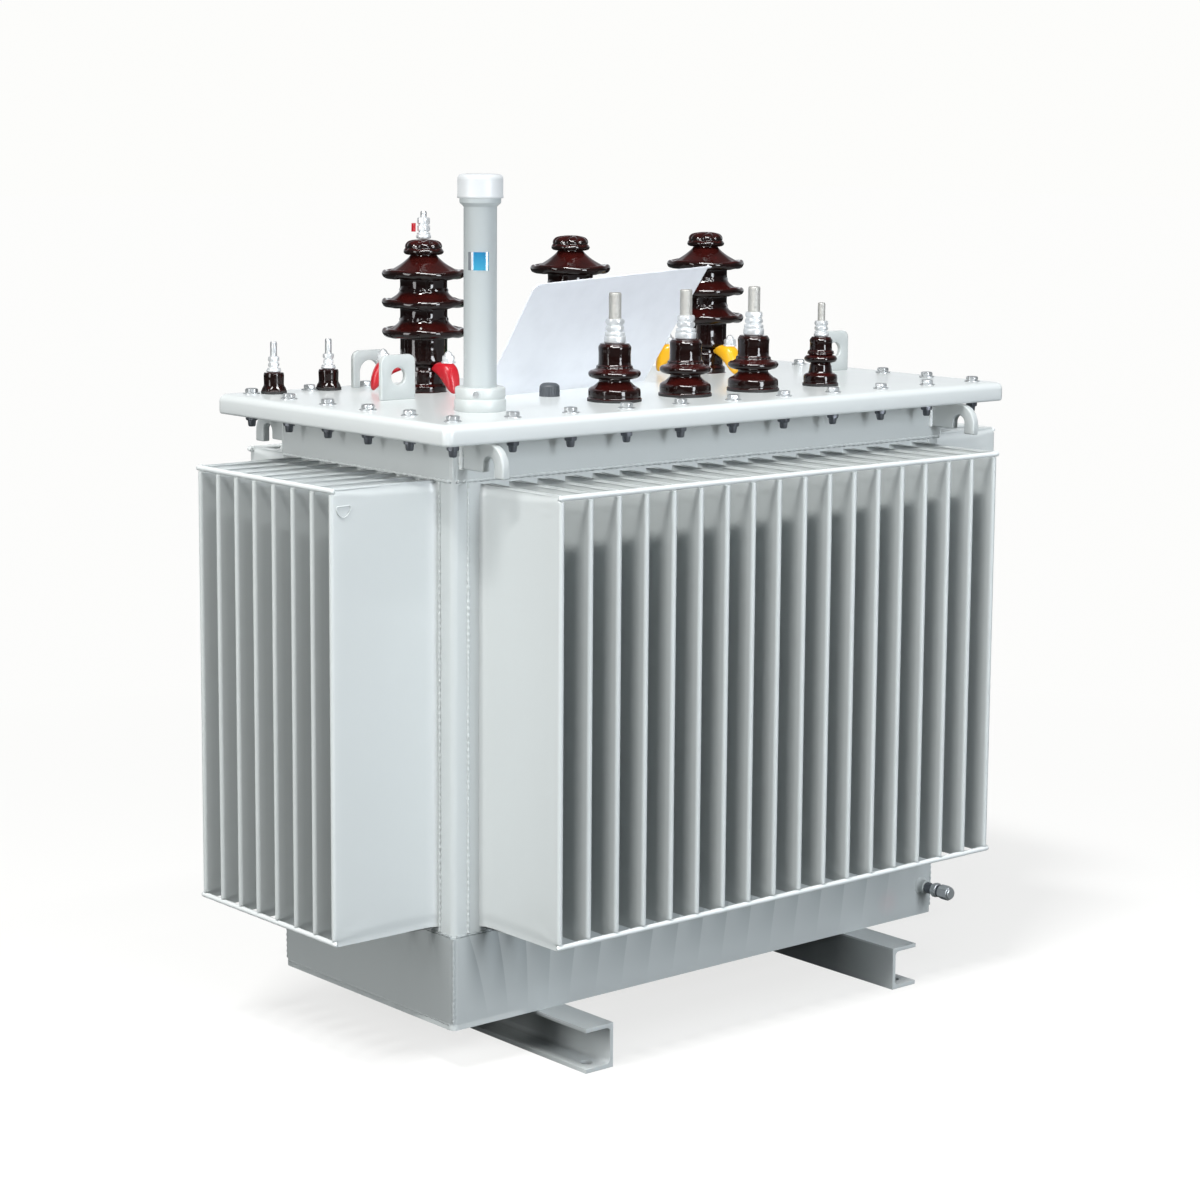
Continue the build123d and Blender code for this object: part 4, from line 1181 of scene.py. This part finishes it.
# %% [markdown]
# ## Rounded edges on the plain plates
#
# Cut and folded plate never has a perfectly sharp edge, and paint rounds it further. For the
# skids, hooks, eyes and the loop a copy of the CAD shape is enough: its loose triangles are
# merged, flat areas joined, and a bevel modifier rounds what is left.

# %% Softened copies of CAD pieces


def softened(node, name, finish, width, segments=3):
    """A merged copy of a CAD node with a bevel of the given width in millimetres."""
    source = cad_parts[node]
    mesh = source.data.copy()
    mesh.name = name
    mesh.transform(source.matrix_world)
    body = bmesh.new()
    body.from_mesh(mesh)
    bmesh.ops.remove_doubles(body, verts=body.verts, dist=1e-5)
    bmesh.ops.dissolve_limit(body, angle_limit=math.radians(0.5), verts=body.verts, edges=body.edges)
    bmesh.ops.recalc_face_normals(body, faces=body.faces)
    body.to_mesh(mesh)
    body.free()
    mesh.shade_smooth()
    piece = added(name, mesh)
    bevel = piece.modifiers.new("edges", "BEVEL")
    bevel.width = width * MM
    bevel.segments = segments
    bevel.limit_method = "ANGLE"
    bevel.angle_limit = math.radians(35)
    bevel.harden_normals = True
    mesh.materials.clear()
    mesh.materials.append(finish)
    hand_over(piece, [node])
    print(f"{name}: {len(mesh.polygons)} faces before the bevel")


softened("skid_left", "soft_skid_left", skid_paint, 1.2)
softened("skid_right", "soft_skid_right", skid_paint, 1.2)
softened("lifting_hooks", "soft_hooks", tank_paint, 2.2)
softened("cover_lifting_eyes", "soft_eyes", fitting_paint, 1.6)
softened("handling_loop", "soft_loop", fitting_paint, 1.8)
softened("plate_holder", "soft_holder", holder_sheet, 0.5, 2)

# %% [markdown]
# ## Studio
#
# In the photograph a long lamp high on the left throws most of the light: it reaches over the
# top of each fin and down about 65 mm of the next one, and elsewhere only into the first 20 mm
# of each gap. A bluish window in front fills the long side. The floor is shown pale, yet
# returns little light, as a workshop floor does, so the skids and the skirt stay dark.

# %% Floor


def pale_floor():
    """Pale to the camera, mostly by its own glow so that shadows stay faint; dark to the rest."""
    ground = Finish("pale_floor", (0.90, 0.90, 0.89), 0.8)
    ground.set(Roughness=ground.noise(3.0) * 0.1 + 0.7)
    glow = ground.node("Emission", None, {"Color": (1.0, 1.0, 0.99, 1.0), "Strength": 0.98})
    dull = ground.node("BsdfDiffuse", None, {"Color": (0.14, 0.15, 0.15, 1.0)})
    body = Wire(ground, ground.shader.outputs[0])
    far = ground.distance((0.0, 0.0, 0.0)).above(0.9, 1.6)
    shown = ground.node("MixShader", None, {0: far * 0.26 + 0.74, 1: body, 2: glow})
    seen = ground.node("LightPath", output="Is Camera Ray")
    both = ground.node("MixShader", None, {0: seen, 1: dull, 2: shown})
    output = ground.tree.nodes["Material Output"]
    ground.put(output.inputs["Surface"], both)
    return ground.material


floor_mesh = bpy.data.meshes.new("floor")
reach = 40.0
floor_corners = [(-reach, -reach, 0), (reach, -reach, 0), (reach, reach, 0), (-reach, reach, 0)]
floor_mesh.from_pydata(floor_corners, [], [(0, 1, 2, 3)])
floor = added("floor", floor_mesh)
floor_mesh.materials.append(pale_floor())
floor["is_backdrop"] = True

scene.view_settings.view_transform = "Standard"
scene.view_settings.look = "None"
print("floor reaches", reach, "m each way")

# %% Sky


def sky():
    """White to the camera; to the rest dim, but bright low down behind the object."""
    world = bpy.data.worlds.new("studio")
    scene.world = world
    world.use_nodes = True
    tree = world.node_tree
    nodes = Nodes(tree, "Generated")
    x, y, z = (nodes.axis(name) for name in "XYZ")
    behind = (x * forward.x + y * forward.y).above(0.25, 0.6)
    low = 1 - z.above(0.10, 0.45)
    glow = behind * low * 0.84 + 0.16
    bright = nodes.node("Background", None, {"Color": (1.0, 1.0, 0.985, 1.0), "Strength": 0.98})
    dim = nodes.node("Background", None, {"Color": (0.96, 1.0, 1.04, 1.0), "Strength": glow})
    seen = nodes.node("LightPath", output="Is Camera Ray")
    both = nodes.node("MixShader", None, {0: seen, 1: dim, 2: bright})
    nodes.put(tree.nodes["World Output"].inputs["Surface"], both)
    print("sky has", len(tree.nodes), "nodes")


sky()

# %% Lamps


def lamp(name, azimuth, elevation, distance, size, power, colour=(1.0, 1.0, 1.0)):
    """A rectangular lamp that faces the object.

    azimuth is in degrees from the front towards the left side, elevation above the floor.
    Size is in metres and power in watts.
    """
    aim = Vector((0.0, 0.0, 0.6))
    turn, rise = math.radians(azimuth), math.radians(elevation)
    way = Vector((-math.sin(turn) * math.cos(rise), -math.cos(turn) * math.cos(rise), math.sin(rise)))
    data = bpy.data.lights.new(name, "AREA")
    data.shape = "RECTANGLE"
    data.size, data.size_y = size
    data.energy = power
    data.color = colour
    light = added(name, data)
    turned_to = way.to_track_quat("Z", "Y").to_matrix().to_4x4()
    light.matrix_world = Matrix.Translation(aim + way * distance) @ turned_to
    print(f"{name}: {azimuth} degrees left of the front, {elevation} up, {power} W")
    return light


# The key is two equal lamps in one place, so that each half can be stopped by other pieces.
KEY = (65.0, 57.0, 12.0, (2.6, 1.0), 700.0, (1.0, 0.995, 0.98))
key = lamp("key_left", *KEY)
key_over = lamp("key_over_cover", *KEY)
front_window = lamp("front_window", 0.0, 14.0, 5.0, (1.0, 2.6), 175.0, (0.95, 0.995, 1.05))
lamp("left_wall", 88.0, 16.0, 4.0, (1.0, 2.6), 75.0)
lamp("top_strip", 5.0, 62.0, 4.0, (3.2, 0.14), 40.0)
glaze_box = lamp("glaze_box", 30.0, 46.0, 3.0, (1.8, 1.0), 190.0)

# %% What each lamp reaches


def linked(name, names, state):
    """A collection for light linking that includes or excludes the named pieces."""
    group = bpy.data.collections.new(name)
    for piece in names:
        group.objects.link(bpy.data.objects[piece])
    for entry in group.collection_objects:
        entry.light_linking.link_state = state
    print(f"{name}: {state.lower()} {len(names)} pieces")
    return group


meshes = [thing for thing in bpy.data.objects if thing.type == "MESH"]
# Half of the key is stopped by the fins alone, so the cover's shadow on the tank stays weak.
fins = linked("blocks_the_key", [f"fins_{side}" for side in sides], "INCLUDE")
key_over.light_linking.blocker_collection = fins
# What stands on the cover throws no shadow there, and the skirt with its welds stays in shade.
DECK_CLEAR = 0.918
standing = [thing.name for thing in meshes if min(corner[2] for corner in thing.bound_box) > DECK_CLEAR]
passed = linked("lets_the_light_by", standing, "EXCLUDE")
for light in (key, front_window):
    light.light_linking.blocker_collection = passed
shaded = linked("shaded_from_the_key", ["tank_skirt", "skirt_welds"], "EXCLUDE")
for light in (key, key_over):
    light.light_linking.receiver_collection = shaded
# A soft box for the glazed porcelain alone gives its rims their long white lights.
glazed = [thing.name for thing in meshes if thing.active_material == porcelain]
glaze_box.light_linking.receiver_collection = linked("glazed", glazed, "INCLUDE")

# %% [markdown]
# ## Sizes and the last line
#
# The dressed part must stay inside the CAD model's box, so both boxes are printed.

# %% Print the visual box and finish
new_box = [list(corner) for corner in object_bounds()]
print("visual box in metres:", [[round(v, 3) for v in corner] for corner in new_box])
